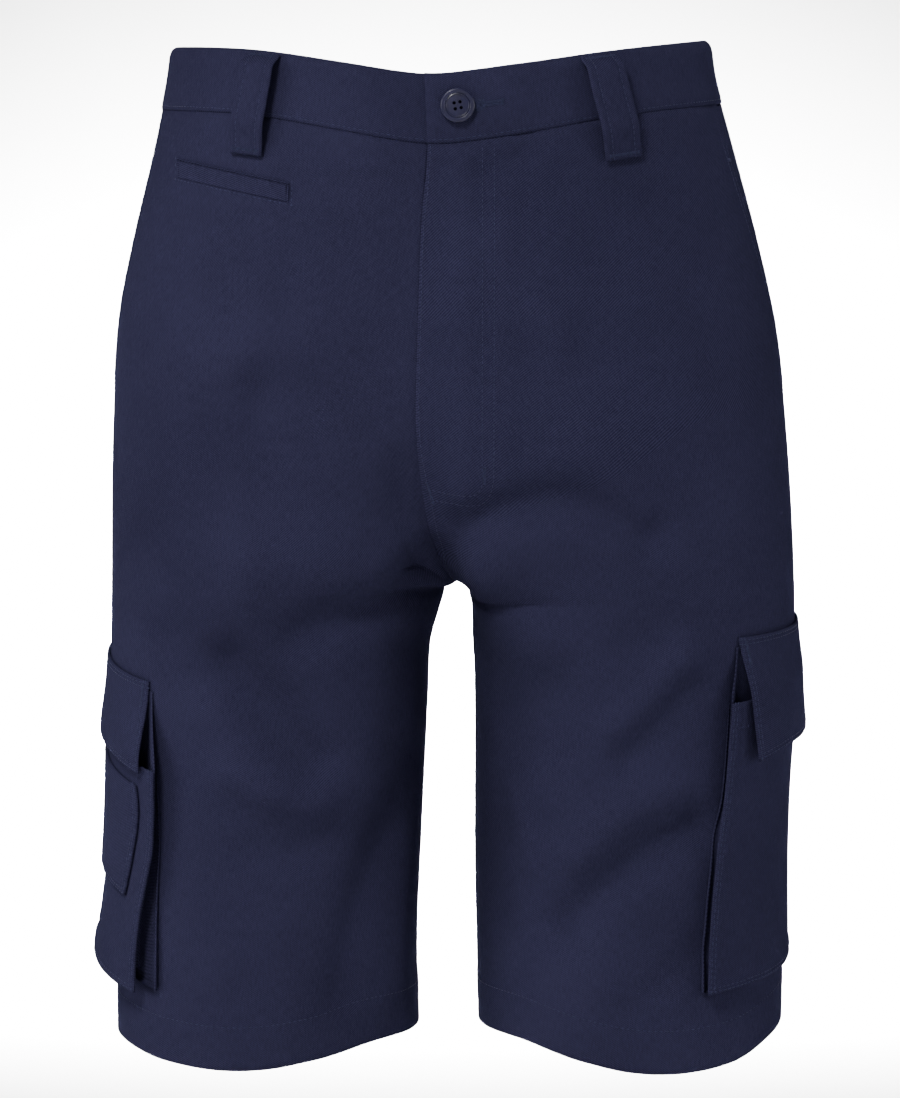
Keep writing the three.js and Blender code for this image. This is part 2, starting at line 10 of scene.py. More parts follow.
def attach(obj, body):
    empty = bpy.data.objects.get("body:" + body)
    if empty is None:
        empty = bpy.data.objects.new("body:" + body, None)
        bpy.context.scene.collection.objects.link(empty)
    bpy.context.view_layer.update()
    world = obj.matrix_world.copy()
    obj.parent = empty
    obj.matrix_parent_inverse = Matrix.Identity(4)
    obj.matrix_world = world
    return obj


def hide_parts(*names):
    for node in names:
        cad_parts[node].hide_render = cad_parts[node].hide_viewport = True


bl_info = {
    "name": "Cargo shorts",
    "version": (1, 0, 0),
    "blender": (4, 5, 0),
    "location": "View3D > Sidebar > Shorts",
    "description": "Makes a pair of navy drill cargo shorts, filled out as worn, and their studio",
    "category": "Object",
}

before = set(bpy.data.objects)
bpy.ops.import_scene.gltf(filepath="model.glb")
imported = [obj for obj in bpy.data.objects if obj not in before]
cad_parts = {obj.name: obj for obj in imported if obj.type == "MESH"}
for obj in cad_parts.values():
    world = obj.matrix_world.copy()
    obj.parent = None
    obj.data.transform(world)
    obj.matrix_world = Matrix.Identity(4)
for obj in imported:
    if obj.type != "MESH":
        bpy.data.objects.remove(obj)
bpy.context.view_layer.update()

MM = 0.001
SIDES = {-1: "left", 1: "right"}


def rows(names, *values):
    """A short table: one dictionary for each row, with the columns named once."""
    columns = names.split()
    return [dict(zip(columns, row)) for row in values]


# Cloth and seams, in millimetres. Left and right are the viewer's, facing the front
CLOTH = 0.9
BAND_CLOTH = 2.4
SEAM_GAP = 0.3
HEM_FOLD = 25
CROTCH_DROP = 276.5
HEM_DROP = 528
RISE_BLEND = 240
RISE_FINE = 150
ARCH_WIDTH = 7.2
ARCH_HEIGHT = 6
ROUNDNESS = 2.35
# Millimetres round the leg for each radian, and half the gap between two panels as an angle
LEG_ROUND = 95
TRIM = SEAM_GAP / 2 / LEG_ROUND

# Section of the body at each drop below the waist: half widths left and right, depths front and back
BODY = rows(
    "drop left right front back",
    (-20, 153.5, 142.5, 118, 111),
    (0, 156.0, 145.5, 120, 114),
    (35, 163.0, 155.0, 122, 121),
    (88, 175.5, 169.5, 125, 134),
    (133, 184.0, 179.5, 126, 144),
    (200, 188.0, 187.0, 124, 148),
    (280, 189.2, 191.5, 112, 128),
    (346, 190.0, 191.0, 103, 108),
    (430, 188.0, 188.0, 97, 98),
    (540, 188.0, 186.0, 94, 92),
)

# Inner side of each leg below the crotch, from the middle
INSEAM = rows(
    "drop left right",
    (282, 7.2, 7.2),
    (312, 12.0, 11.5),
    (346, 13.5, 12.8),
    (430, 17.5, 12.8),
    (480, 19.5, 13.8),
    (540, 18.5, 15.5),
)

# Drop of the hem edge round each leg, from the inseam through the back and the side to the front
HEM = rows(
    "angle left right",
    (-180, 528, 526),
    (-135, 523, 523),
    (-90, 524, 524),
    (-45, 526, 523),
    (0, 529, 522),
    (30, 530, 526),
    (55, 533.5, 534.5),
    (85, 536, 538),
    (105, 531, 532),
    (135, 524, 523),
    (180, 528, 526),
)

# Sideways place of the centre front line
FRONT_LINE = rows(
    "drop across",
    (-20, -15),
    (34, -12.5),
    (75, -15.5),
    (117, -17),
    (180, -18.4),
    (215, -15.8),
    (250, -11.2),
    (265, -6.2),
    (276, 3.8),
    (312, 0.8),
)
FRONT_LINE_REACH = 90

# Height of the waist's top edge, across the front and across the back
WAIST_FRONT = rows(
    "across height",
    (-160, 17.5),
    (-108, 14.6),
    (-60, 8),
    (-27, 3),
    (-8, 1.5),
    (10, 3),
    (36, 6.5),
    (85, 13.5),
    (150, 21),
)
WAIST_BACK = rows("across height", (-160, 15), (-80, 7), (0, 2), (80, 9), (150, 21))

# Creases: end points across and down, bow, depth (negative is a ridge) and half width
FOLDS = rows(
    "face x0 d0 x1 d1 bow depth width",
    # Front, round the crotch
    (1, -7, 262, -82, 297, 3, 6.8, 12),
    (1, -11, 252, -27, 206, -2, 3.4, 12),
    (1, 6, 241, 104, 244, 19, 7.0, 13),
    (1, 20, 276, 74, 308, -5, -6.5, 20),
    (1, 19, 221, 84, 197, 3, -2.2, 13),
    (1, -8, 264, -46, 286, 3, 1.0, 7),
    (1, 2, 230, 4, 250, 0, 1.2, 6),
    (1, 2, 178, 21, 219, 0, 2.0, 14),
    # Front left thigh and leg
    (1, -108, 188, -34, 226, 4, 11.0, 28),
    (1, -103, 165, -46, 186, 7, 3.6, 14),
    (1, -108, 262, -44, 264, 6, -3.4, 19),
    (1, -116, 146, -60, 141, 5, -1.7, 13),
    (1, -99, 108, -112, 156, 2, -2.4, 11),
    (1, -120, 183, -107, 276, 3, -2.0, 9),
    (1, -154, 300, -138, 305, 2, 2.4, 11),
    (1, -118, 312, -74, 364, 3, 9.5, 13),
    (1, -128, 340, -98, 378, 2, -5.0, 14),
    (1, -114, 372, -74, 388, -2, -7.0, 14),
    (1, -110, 417, -70, 410, -3, 3.2, 12),
    (1, -16, 372, -58, 494, -6, 6.0, 12),
    (1, -20, 416, -29, 496, 2, -2.8, 9),
    (1, -24, 308, -33, 368, 3, 1.8, 9),
    (1, -126, 438, -112, 490, 3, 1.4, 11),
    (1, -90, 456, -84, 500, -2, -1.3, 12),
    # Front right thigh and leg
    (1, 107, 297, 34, 344, -6, 4.0, 17),
    (1, 125, 308, 88, 346, 2, -3.4, 9),
    (1, 129, 327, 95, 364, 2, 4.6, 9),
    (1, 129, 404, 64, 456, -5, 8.6, 13),
    (1, 124, 378, 70, 418, -4, -4.4, 12),
    (1, 24, 322, 28, 403, 2, 2.8, 12),
    (1, 32, 388, 46, 426, 0, -2.0, 6),
    (1, 19, 418, 27, 463, 0, 2.0, 9),
    (1, 132, 470, 90, 503, 3, 2.0, 9),
    (1, 54, 472, 80, 498, 3, -1.5, 12),
    # Front hips, fly and yoke
    (1, 22, 88, 59, 141, 4, -2.2, 10),
    (1, 69, 190, 101, 229, -3, -2.4, 12),
    (1, 122, 92, 143, 161, 4, 2.2, 16),
    (1, 7, 44, 6, 224, 0, -1.6, 8),
    (1, 42, 37, 15, 51, 2, 1.8, 7),
    (1, -87, 56, -18, 60, 2, 1.3, 7),
    (1, -112, 77, -78, 81, 2, 1.3, 8),
    # Back
    (-1, -16, 262, -104, 296, 4, 4.6, 15),
    (-1, 16, 258, 98, 300, -4, 4.4, 16),
    (-1, -128, 318, -64, 372, 3, 3.8, 16),
    (-1, 132, 336, 70, 398, 2, 4.0, 15),
    (-1, -54, 400, -66, 470, 3, 3.0, 13),
    (-1, -12, 246, -60, 262, -6, 1.8, 8),
    (-1, 12, 250, 56, 270, 6, 1.6, 8),
    (-1, -30, 300, -96, 322, 5, -2.2, 12),
    (-1, 34, 306, 92, 336, -5, -2.4, 12),
    (-1, -20, 200, -62, 236, 6, 1.4, 16),
    (-1, 24, 190, 70, 224, -6, 1.2, 15),
    (-1, 60, 420, 74, 486, 4, 2.6, 12),
    (-1, -120, 420, -92, 480, -4, 2.4, 12),
    (-1, -60, 92, -108, 108, 3, 1.2, 14),
    (-1, 66, 84, 116, 104, -4, 1.1, 13),
    (-1, -86, 366, -52, 392, 3, -1.8, 10),
    (-1, 104, 408, 80, 440, 3, -1.9, 11),
)

# Rows of stitches: distances from the edge or the seam
SEAM_ROWS = (1.7, 7.6)
MOUTH_ROWS = (1.5, 6.8)
POCKET_ROWS = (1.3, 3.3)
HEM_ROW = 23.5
BAND_ROW = 1.9

# Fly and waistband: how far each laps, stands proud and fades out, and the band's height
FLY_LAP = 1.2
FLY_WIDTH = 32
FLY_FADE = 12
FLY_BOTTOM = 205
BAND_SIDE = 34
BAND_CENTRE = 36.5
BAND_REACH = 120
BAND_PROUD = 0.8
BAND_RISE = 3.3
BAND_LAP_FROM = 30
BAND_LAP_FADE = 26
BAND_UNDER = 6


def lerp(a, b, t):
    return a + (b - a) * t


def smooth(x, low, high):
    t = np.clip((np.asarray(x, float) - low) / (high - low), 0, 1)
    return t * t * (3 - 2 * t)


def table_at(table, key, name, at):
    """Smooth curve through the rows of a table."""
    keys = np.array([row[key] for row in table], float)
    values = np.array([row[name] for row in table], float)
    last = len(keys) - 1
    low = np.maximum(np.arange(last + 1) - 1, 0)
    high = np.minimum(np.arange(last + 1) + 1, last)
    slopes = (values[high] - values[low]) / (keys[high] - keys[low])
    at = np.clip(np.asarray(at, float), keys[0], keys[-1])
    i = np.clip(np.searchsorted(keys, at) - 1, 0, last - 1)
    span = keys[i + 1] - keys[i]
    t = (at - keys[i]) / span
    t2 = t * t
    t3 = t2 * t
    start = (2 * t3 - 3 * t2 + 1) * values[i] + (t3 - 2 * t2 + t) * span * slopes[i]
    return start + (3 * t2 - 2 * t3) * values[i + 1] + (t3 - t2) * span * slopes[i + 1]


def signed_power(value, power):
    return np.sign(value) * np.abs(value) ** power


def section_at(side, drop):
    """Oval of one side: its middle, half width and the angle where it meets the other side."""
    drop = np.asarray(drop, float)
    outer = table_at(BODY, "drop", SIDES[side], drop)
    above = CROTCH_DROP - drop
    up = np.clip(above / RISE_BLEND, 0, 1)
    down = np.clip(-above / ARCH_HEIGHT, 0, 1)
    arch = ARCH_WIDTH * np.cbrt(1 - (1 - down) ** 3)
    leg = np.where(down < 1, arch, table_at(INSEAM, "drop", SIDES[side], drop))
    inner = np.where(above >= 0, -outer * up * (2 - up), leg)
    middle = (outer + inner) / 2
    half = (outer - inner) / 2
    ratio = np.clip(middle / half, 0, 1) ** (ROUNDNESS / 2)
    meet = np.where(inner >= 0, np.pi, np.arccos(-ratio))
    return middle, half, meet


def form_point(side, angle, drop):
    """Point of the plain body form. The angle runs from the side seam, front positive, back negative."""
    angle, drop = np.broadcast_arrays(np.asarray(angle, float), np.asarray(drop, float))
    middle, half, _ = section_at(side, drop)
    power = 2 / ROUNDNESS
    front = table_at(BODY, "drop", "front", drop)
    back = table_at(BODY, "drop", "back", drop)
    x = side * (middle + half * signed_power(np.cos(angle), power))
    y = np.where(angle >= 0, -front, back) * signed_power(np.sin(np.abs(angle)), power)
    reach = np.maximum(0, 1 - np.abs(x) / FRONT_LINE_REACH) ** 2
    line = table_at(FRONT_LINE, "drop", "across", drop)
    low = smooth(drop, CROTCH_DROP - 60, CROTCH_DROP)
    shift = np.where(y <= 0, line, line * low)
    return np.stack([x + shift * reach, y, -drop], -1)


def form_normal(side, angle, drop, turn=0.01, step=1.0):
    round_ = form_point(side, angle + turn, drop) - form_point(side, angle - turn, drop)
    down = form_point(side, angle, drop + step) - form_point(side, angle, drop - step)
    normal = np.cross(round_, down) * side
    return normal / np.linalg.norm(normal, axis=-1, keepdims=True)


def fold_depth(face, x, drop, scale):
    depth = np.zeros(np.shape(x))
    for fold in FOLDS:
        along = np.array([fold["x1"] - fold["x0"], fold["d1"] - fold["d0"]], float)
        length = np.hypot(*along)
        fx, fd = x - fold["x0"], drop - fold["d0"]
        t = (fx * along[0] + fd * along[1]) / length**2
        inside = np.clip(t, 0, 1)
        across = (fx * along[1] - fd * along[0]) / length - fold["bow"] * 4 * inside * (1 - inside)
        past = (t - inside) * length
        away = (across**2 + past**2) / fold["width"] ** 2
        depth = depth + np.where(face == fold["face"], fold["depth"] * scale * np.exp(-away), 0)
    return depth


def cloth_point(side, angle, drop, out, share=1.0):
    """Point of the creased cloth, moved out by a distance; share is how much of the creases it follows."""
    angle, drop = np.broadcast_arrays(np.asarray(angle, float), np.asarray(drop, float))
    point = form_point(side, angle, drop)
    face = np.where(angle >= 0, 1, -1)
    # Creases run out at the side seam and at the inseam, which front and back share, and at the crotch
    from_side = np.minimum(1, np.abs(angle) / 0.3)
    from_inseam = smooth(np.pi - np.abs(angle), 0.03, 0.6)
    edge = from_side * lerp(1, from_inseam, smooth(drop, CROTCH_DROP - 4, CROTCH_DROP + 16))
    scale = bpy.context.scene.shorts_cloth.crease_depth
    crease = fold_depth(face, point[..., 0], drop, scale) * edge
    crease = crease * smooth(np.hypot(point[..., 0] - 4, drop - CROTCH_DROP - 2), 2, 14)
    # Creases sink along a softer normal, so that they pass evenly over the turn under the crotch
    sunk = form_normal(side, angle, drop, 0.05, 9.0) * (crease * share)[..., None]
    return point + form_normal(side, angle, drop) * np.broadcast_to(out, angle.shape)[..., None] - sunk


def waist_top(side, angle):
    """Drop of the waist's top edge at an angle round the waist."""
    x = form_point(side, angle, BAND_SIDE / 2)[..., 0]
    front = table_at(WAIST_FRONT, "across", "height", x)
    back = table_at(WAIST_BACK, "across", "height", x)
    return -np.where(np.asarray(angle) >= 0, front, back)


def band_seam(side, angle):
    x = form_point(side, angle, BAND_SIDE / 2)[..., 0]
    return waist_top(side, angle) + lerp(BAND_CENTRE, BAND_SIDE, smooth(np.abs(x), 0, BAND_REACH))


def hem_drop(side, angle):
    return table_at(HEM, "angle", SIDES[side], np.degrees(angle))


def near(distance, reach):
    """Falls from one at an edge to nothing at a few times the reach."""
    return np.exp(-((distance / reach) ** 2))


def groove(distance, at, depth=0.35, width=0.8):
    """A narrow trough that a row of stitches pulls into the cloth."""
    return -depth * near(distance - at, width)


def twin_grooves(distance):
    """Troughs of the two rows of stitches along a pocket's edge."""
    first, second = POCKET_ROWS
    return groove(distance, first) + groove(distance, second, 0.3)


def pucker(along, phase):
    """Uneven short ripples along a seam, from -1 to 1."""
    long_wave = np.sin(along * 0.61 + phase) + 0.7 * np.sin(along * 0.97 + 2.1 * phase)
    return (long_wave + 0.6 * np.sin(along * 1.53 + 3.7 * phase)) / 2.3


def shell(name, outer, inner, across, down, bulge):
    """A closed sheet between two grids. bulge rounds its edges: first column, last column, top, bottom."""
    count_r, count_c = outer.shape[:2]
    total = count_r * count_c
    points = [outer.reshape(-1, 3), inner.reshape(-1, 3)]
    at = np.arange(total).reshape(count_r, count_c)
    a, b = at[:-1, :-1].ravel(), at[:-1, 1:].ravel()
    c, d = at[1:, 1:].ravel(), at[1:, :-1].ravel()
    faces = [np.stack([a, b, c, d], 1), np.stack([a, d, c, b], 1) + total]
    ring = np.concatenate([at[0, :-1], at[:-1, -1], at[-1, :0:-1], at[:0:-1, 0]])
    inside = np.concatenate([at[1, :-1], at[:-1, -2], at[-2, :0:-1], at[:0:-1, 1]])
    swell = np.concatenate([
        np.full(count_c - 1, bulge[2]), np.full(count_r - 1, bulge[1]),
        np.full(count_c - 1, bulge[3]), np.full(count_r - 1, bulge[0]),
    ])
    outward = points[0][ring] - points[0][inside]
    outward /= np.linalg.norm(outward, axis=1, keepdims=True) + 1e-9
    middle = (points[0][ring] + points[1][ring]) / 2 + outward * swell[:, None]
    points.append(middle)
    rim = 2 * total + np.arange(len(ring))
    after = np.roll(np.arange(len(ring)), -1)
    faces.append(np.stack([ring[after], ring, rim, rim[after]], 1))
    faces.append(np.stack([rim[after], rim, ring + total, ring[after] + total], 1))
    uv = np.stack([across.ravel(), down.ravel()], 1)
    uv = np.concatenate([uv, uv, uv[ring]])
    return make_mesh(name, np.concatenate(points), np.concatenate(faces), uv)


def add_object(name, data):
    made = bpy.data.objects.new(name, data)
    bpy.context.scene.collection.objects.link(made)
    return made


def shade_smooth(mesh):
    mesh.polygons.foreach_set("use_smooth", np.ones(len(mesh.polygons), bool))


def make_mesh(name, points, faces, uv):
    """An object from points and four-cornered faces, its UV map in tenths of a metre along the cloth."""
    mesh = bpy.data.meshes.new(name)
    mesh.from_pydata((points * MM).tolist(), [], faces.tolist())
    layer = mesh.uv_layers.new(name="cloth")
    loops = np.empty(len(mesh.loops), int)
    mesh.loops.foreach_get("vertex_index", loops)
    layer.data.foreach_set("uv", (uv[loops] * MM * 10).ravel())
    corners = points[faces]
    volume = np.einsum("ij,ij->i", corners[:, 0], np.cross(corners[:, 1], corners[:, 2])).sum()
    volume += np.einsum("ij,ij->i", corners[:, 0], np.cross(corners[:, 2], corners[:, 3])).sum()
    if volume < 0:
        mesh.flip_normals()
    shade_smooth(mesh)
    mesh.validate()
    return add_object(name, mesh)


def settle(piece, slot, *nodes):
    """Every finished piece rides on the one body, hides the model's parts that it stands for and takes the
    material of its slot.
    """
    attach(piece, "root")
    if nodes:
        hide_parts(*nodes)
    piece.data.materials.clear()
    piece.data.materials.append(MATERIALS[slot]())


def grid_size(points):
    """Width, length and area of a grid of points on the cloth, in metres."""
    along = np.linalg.norm(np.diff(points, axis=1), axis=2)
    down = np.linalg.norm(np.diff(points, axis=0), axis=2)
    a = points[1:, 1:] - points[:-1, :-1]
    b = points[1:, :-1] - points[:-1, 1:]
    area = np.linalg.norm(np.cross(a, b), axis=2).sum() / 2
    return along.sum(1).max() * MM, down.sum(0).max() * MM, area * MM * MM


PANELS = {}


def make_cloth(name, outer, inner, across, down, bulge=(0, 0, 0, 0), held="stretched", hem=0):
    """Make a piece and work out the size of cloth it was cut from, though nothing keeps that size; hem is
    what is turned up inside.
    """
    piece = shell(f"cloth_{name}", outer, inner, across, down, bulge)
    width, length, area = grid_size(outer)
    hem_area = hem * MM * width
    length += hem * MM
    min(area + hem_area, width * length)
    PANELS[name] = piece
    settle(piece, "drill", name)


class Wire:
    """A shader socket that takes part in plain arithmetic."""

    def __init__(self, finish, socket):
        self.finish = finish
        self.socket = socket

    def _math(self, operation, other):
        return self.finish.node("ShaderNodeMath", {"operation": operation}, {0: self, 1: other})

    def __add__(self, other):
        return self._math("ADD", other)

    def __sub__(self, other):
        return self._math("SUBTRACT", other)

    def __mul__(self, other):
        return self._math("MULTIPLY", other)

    __radd__ = __add__
    __rmul__ = __mul__


def add_node(tree, kind, settings=None, values=None):
    """Add a node, set it up, and link or fill in its inputs."""
    node = tree.nodes.new(kind)
    for key, value in (settings or {}).items():
        setattr(node, key, value)
    for key, value in (values or {}).items():
        if isinstance(value, bpy.types.NodeSocket):
            tree.links.new(value, node.inputs[key])
        else:
            node.inputs[key].default_value = value
    return node


class Finish:
    """One material and its nodes."""

    def __init__(self, name):
        self.material = bpy.data.materials.new(name)
        self.material.use_nodes = True
        self.tree = self.material.node_tree
        self.tree.nodes.clear()

    def node(self, kind, settings=None, values=None, output=0):
        values = {key: getattr(value, "socket", value) for key, value in (values or {}).items()}
        return Wire(self, add_node(self.tree, kind, settings, values).outputs[output])

    def place(self):
        """Place on the object, in metres."""
        return self.node("ShaderNodeTexCoord", output=3)

    def noise(self, place, scale, detail=2.0, roughness=0.5):
        values = {"Vector": place, "Scale": scale, "Detail": detail, "Roughness": roughness}
        return self.node("ShaderNodeTexNoise", {}, values)

    def bump(self, height, strength, distance):
        return self.node("ShaderNodeBump", {}, {"Height": height, "Strength": strength, "Distance": distance})

    def tones(self, light, colour, darkest, palest, start=0.35):
        """The colour made darker and paler, as the light says."""
        node = add_node(self.tree, "ShaderNodeValToRGB", {}, {"Fac": light.socket})
        for element, position, share in zip(node.color_ramp.elements, (start, 1 - start), (darkest, palest)):
            element.position = position
            element.color = (*(min(1, channel * share) for channel in colour), 1)
        return Wire(self, node.outputs[0])

    def finish(self, values):
        surface = self.node("ShaderNodeBsdfPrincipled", {}, values)
        add_node(self.tree, "ShaderNodeOutputMaterial", {}, {"Surface": surface.socket})
        return self.material


def once(function):
    """Make a material or a node group when it is first asked for, and share it."""
    made = []

    def get():
        if not made:
            made.append(function())
        return made[0]

    return get


@once
def drill_cloth():
    """Navy cotton drill: a fine diagonal line, uneven yarns and a soft sheen."""
    cloth = bpy.context.scene.shorts_cloth
    f = Finish("navy_drill")
    # The UV map holds the distance across and down the cloth in units of a tenth of a metre
    place = f.node("ShaderNodeUVMap", {"uv_map": "cloth"})
    pitch = cloth.twill_pitch / 0.1
    turned = f.node("ShaderNodeMapping", {}, {"Vector": place, "Rotation": (0, 0, math.radians(-58))})
    wobble = f.noise(place, 60.0)
    line = f.node(
        "ShaderNodeTexWave", {"wave_type": "BANDS", "bands_direction": "X"},
        {"Vector": turned, "Scale": 1 / pitch / 3.2, "Distortion": 1.2, "Detail": 1.0, "Detail Scale": 6.0},
        output=1,
    )
    drawn_out = f.node("ShaderNodeMapping", {}, {"Vector": place, "Scale": (1.0, 0.16, 1)})
    yarn = f.noise(drawn_out, 120.0, 3.0, 0.7)
    fleck = f.noise(place, 190.0, 2.0, 0.8)
    broad = f.noise(f.place(), 9.0, 3.0, 0.55)
    light = yarn * 0.30 + line * 0.20 + fleck * 0.30 + broad * 0.20
    height = line * 0.5 + yarn * 0.55 + fleck * 0.35 + wobble * 0.1
    return f.finish({
        "Base Color": f.tones(light, cloth.cloth_colour, 0.62, 1.5, start=0.38),
        "Roughness": 0.8 + 0.12 * (yarn - 0.5),
        "Normal": f.bump(height, cloth.weave_relief, 0.00035),
        "Specular IOR Level": 0.0,
        "Sheen Weight": 0.02,
        "Sheen Roughness": 0.5,
        "Sheen Tint": (0.45, 0.50, 0.85, 1),
    })


@once
def sewing_thread():
    f = Finish("navy_thread")
    twist = f.noise(f.place(), 900.0)
    return f.finish({
        "Base Color": f.tones(twist, bpy.context.scene.shorts_cloth.thread_colour, 0.75, 1.25),
        "Roughness": 0.7,
        "Normal": f.bump(twist, 0.3, 0.0001),
        "Specular IOR Level": 0.15,
        "Sheen Weight": 0.05,
        "Sheen Roughness": 0.4,
    })


@once
def button_plastic():
    f = Finish("navy_button")
    place = f.place()
    cloud = f.noise(place, 160.0, 4.0)
    scuff = f.noise(place, 700.0, 3.0)
    return f.finish({
        "Base Color": f.tones(cloud, bpy.context.scene.shorts_cloth.button_colour, 0.85, 1.2),
        "Roughness": 0.24 + 0.12 * scuff,
        "Normal": f.bump(scuff, 0.12, 0.0001),
        "Specular IOR Level": 0.4,
    })


MATERIALS = {"drill": drill_cloth, "thread": sewing_thread, "button": button_plastic}


class ShortsCloth(bpy.types.PropertyGroup):
    cloth_colour: bpy.props.FloatVectorProperty(
        name="Cloth colour", description="Colour of the drill", subtype="COLOR",
        default=(0.020, 0.019, 0.043),
    )
    thread_colour: bpy.props.FloatVectorProperty(
        name="Thread colour", description="Colour of the sewing thread", subtype="COLOR",
        default=(0.021, 0.023, 0.060),
    )
    button_colour: bpy.props.FloatVectorProperty(
        name="Button colour", description="Colour of the button", subtype="COLOR",
        default=(0.0135, 0.0125, 0.0400),
    )
    twill_pitch: bpy.props.FloatProperty(
        name="Twill pitch", description="Distance between the diagonal lines", default=0.0009, unit="LENGTH"
    )
    weave_relief: bpy.props.FloatProperty(
        name="Weave relief", description="Strength of the weave's relief", default=0.5, subtype="FACTOR"
    )
    crease_depth: bpy.props.FloatProperty(
        name="Crease depth", description="Depth of the creases against the model's", default=1.0,
        subtype="FACTOR",
    )


class ShortsStage(bpy.types.PropertyGroup):
    distance: bpy.props.FloatProperty(
        name="Camera distance", description="From the middle of the shorts", default=2.2, unit="LENGTH"
    )
    elevation: bpy.props.FloatProperty(
        name="Camera elevation", description="Angle above the level", default=math.radians(6), subtype="ANGLE"
    )
    target: bpy.props.FloatVectorProperty(
        name="Camera target", description="Point that the camera looks at", default=(-0.00056, 0, -0.261),
        subtype="TRANSLATION",
    )
    lens: bpy.props.FloatProperty(name="Lens", description="Focal length in millimetres", default=128.8)
    room_light: bpy.props.FloatProperty(
        name="Room light", description="Strength of the light from all round", default=0.1
    )


# A leg panel's rows crowd together where the crotch turns under, and its columns at the seams
YOKE_ROWS = 26
RISE_ROWS = 44
ARCH_ROWS = 8
LEG_ROWS = 62
HEM_ROWS = 10
INNER_FINE = 46
INNER_REACH = 54
SIDE_FINE = 14
SIDE_REACH = 16
MIDDLE_COLUMNS = 62

# Slanting pocket mouths: the angle from the side seam at the band, and the drops they run between
MOUTH = {-1: 9, 1: 17}
MOUTH_TOP = 30
MOUTH_BOTTOM = 178


def row_drops():
    """Drops of the panel's rows at its inner edge and at its side."""
    fold_top = HEM_DROP - HEM_FOLD
    leg_top = CROTCH_DROP + ARCH_HEIGHT
    yoke = np.linspace(BAND_SIDE, CROTCH_DROP - RISE_FINE, YOKE_ROWS, endpoint=False)
    rise = CROTCH_DROP - RISE_FINE * (1 - np.arange(RISE_ROWS) / RISE_ROWS) ** 3
    arch = CROTCH_DROP + ARCH_HEIGHT * (1 - np.cos(np.pi / 2 * np.arange(ARCH_ROWS) / ARCH_ROWS))
    leg = np.linspace(leg_top, fold_top, LEG_ROWS + 1)
    inner = np.concatenate([yoke, rise, arch, leg])
    outer = np.linspace(BAND_SIDE, fold_top, len(inner))
    hem = np.linspace(fold_top, HEM_DROP, HEM_ROWS + 1)[1:]
    return np.concatenate([inner, hem]), np.concatenate([outer, hem]), len(inner) - 1


def mouth_angle(side, drop):
    t = np.clip((drop - MOUTH_TOP) / (MOUTH_BOTTOM - MOUTH_TOP), 0, 1)
    return math.radians(MOUTH[side]) * (1 - t**1.5)


def panel_places(side, sign):
    """Angle and drop of each point of a panel, with its distance from the inner edge and from the side."""
    inner, outer, fold_row = row_drops()
    u = np.linspace(0, 1, 500)[None, :]
    r = np.arange(len(inner))[:, None]
    drop = lerp(inner[:, None], outer[:, None], smooth(u, 0, 0.55))

    # The back reaches over the front at the side seam and the inseam
    lap = TRIM if sign > 0 else -2.6 * TRIM

    def side_end(d):
        return np.maximum(TRIM, mouth_angle(side, d)) if sign > 0 else np.full(np.shape(d), lap)

    seam_angle = sign * lerp(np.pi / 2 - TRIM, side_end(np.full_like(u, BAND_SIDE)), u)
    top = band_seam(side, seam_angle) + SEAM_GAP
    drop = drop + (top - outer[0]) * np.maximum(0, 1 - r / YOKE_ROWS)
    near_hem = smooth(r, fold_row - 26, fold_row)
    drop = drop + (hem_drop(side, sign * np.pi * (1 - u)) - HEM_DROP) * near_hem
    _, _, meet = section_at(side, drop)
    angle = sign * lerp(meet - lap, side_end(drop), u)
    points = form_point(side, angle, drop)
    steps = np.linalg.norm(np.diff(points, axis=1), axis=2)
    arc = np.concatenate([np.zeros((len(inner), 1)), np.cumsum(steps, axis=1)], axis=1)
    fine_inner = np.linspace(0, 1, INNER_FINE) ** 1.15 * INNER_REACH
    fine_side = (np.linspace(0, 1, SIDE_FINE) ** 1.3 * SIDE_REACH)[::-1]
    share = np.linspace(0, 1, MIDDLE_COLUMNS + 2)[1:-1]
    shape = (len(inner), INNER_FINE + MIDDLE_COLUMNS + SIDE_FINE)
    angles, drops, from_inner = np.empty(shape), np.empty(shape), np.empty(shape)
    for row in range(len(inner)):
        length = arc[row, -1]
        middle = lerp(fine_inner[-1], length - fine_side[0], share)
        wanted = np.concatenate([fine_inner, middle, length - fine_side])
        from_inner[row] = wanted
        angles[row] = np.interp(wanted, arc[row], angle[row])
        drops[row] = np.interp(wanted, arc[row], drop[row])
    return angles, drops, from_inner, arc[:, -1][:, None] - from_inner, fold_row


def fly_raise(angle, drop):
    """How far the right front's doubled fly edge stands proud."""
    middle, half, _ = section_at(1, drop)
    x = middle + half * signed_power(np.cos(angle), 2 / ROUNDNESS)
    across = 1 - smooth(x, FLY_WIDTH, FLY_WIDTH + FLY_FADE)
    return FLY_LAP * across * (1 - smooth(drop, FLY_BOTTOM, FLY_BOTTOM + 25))


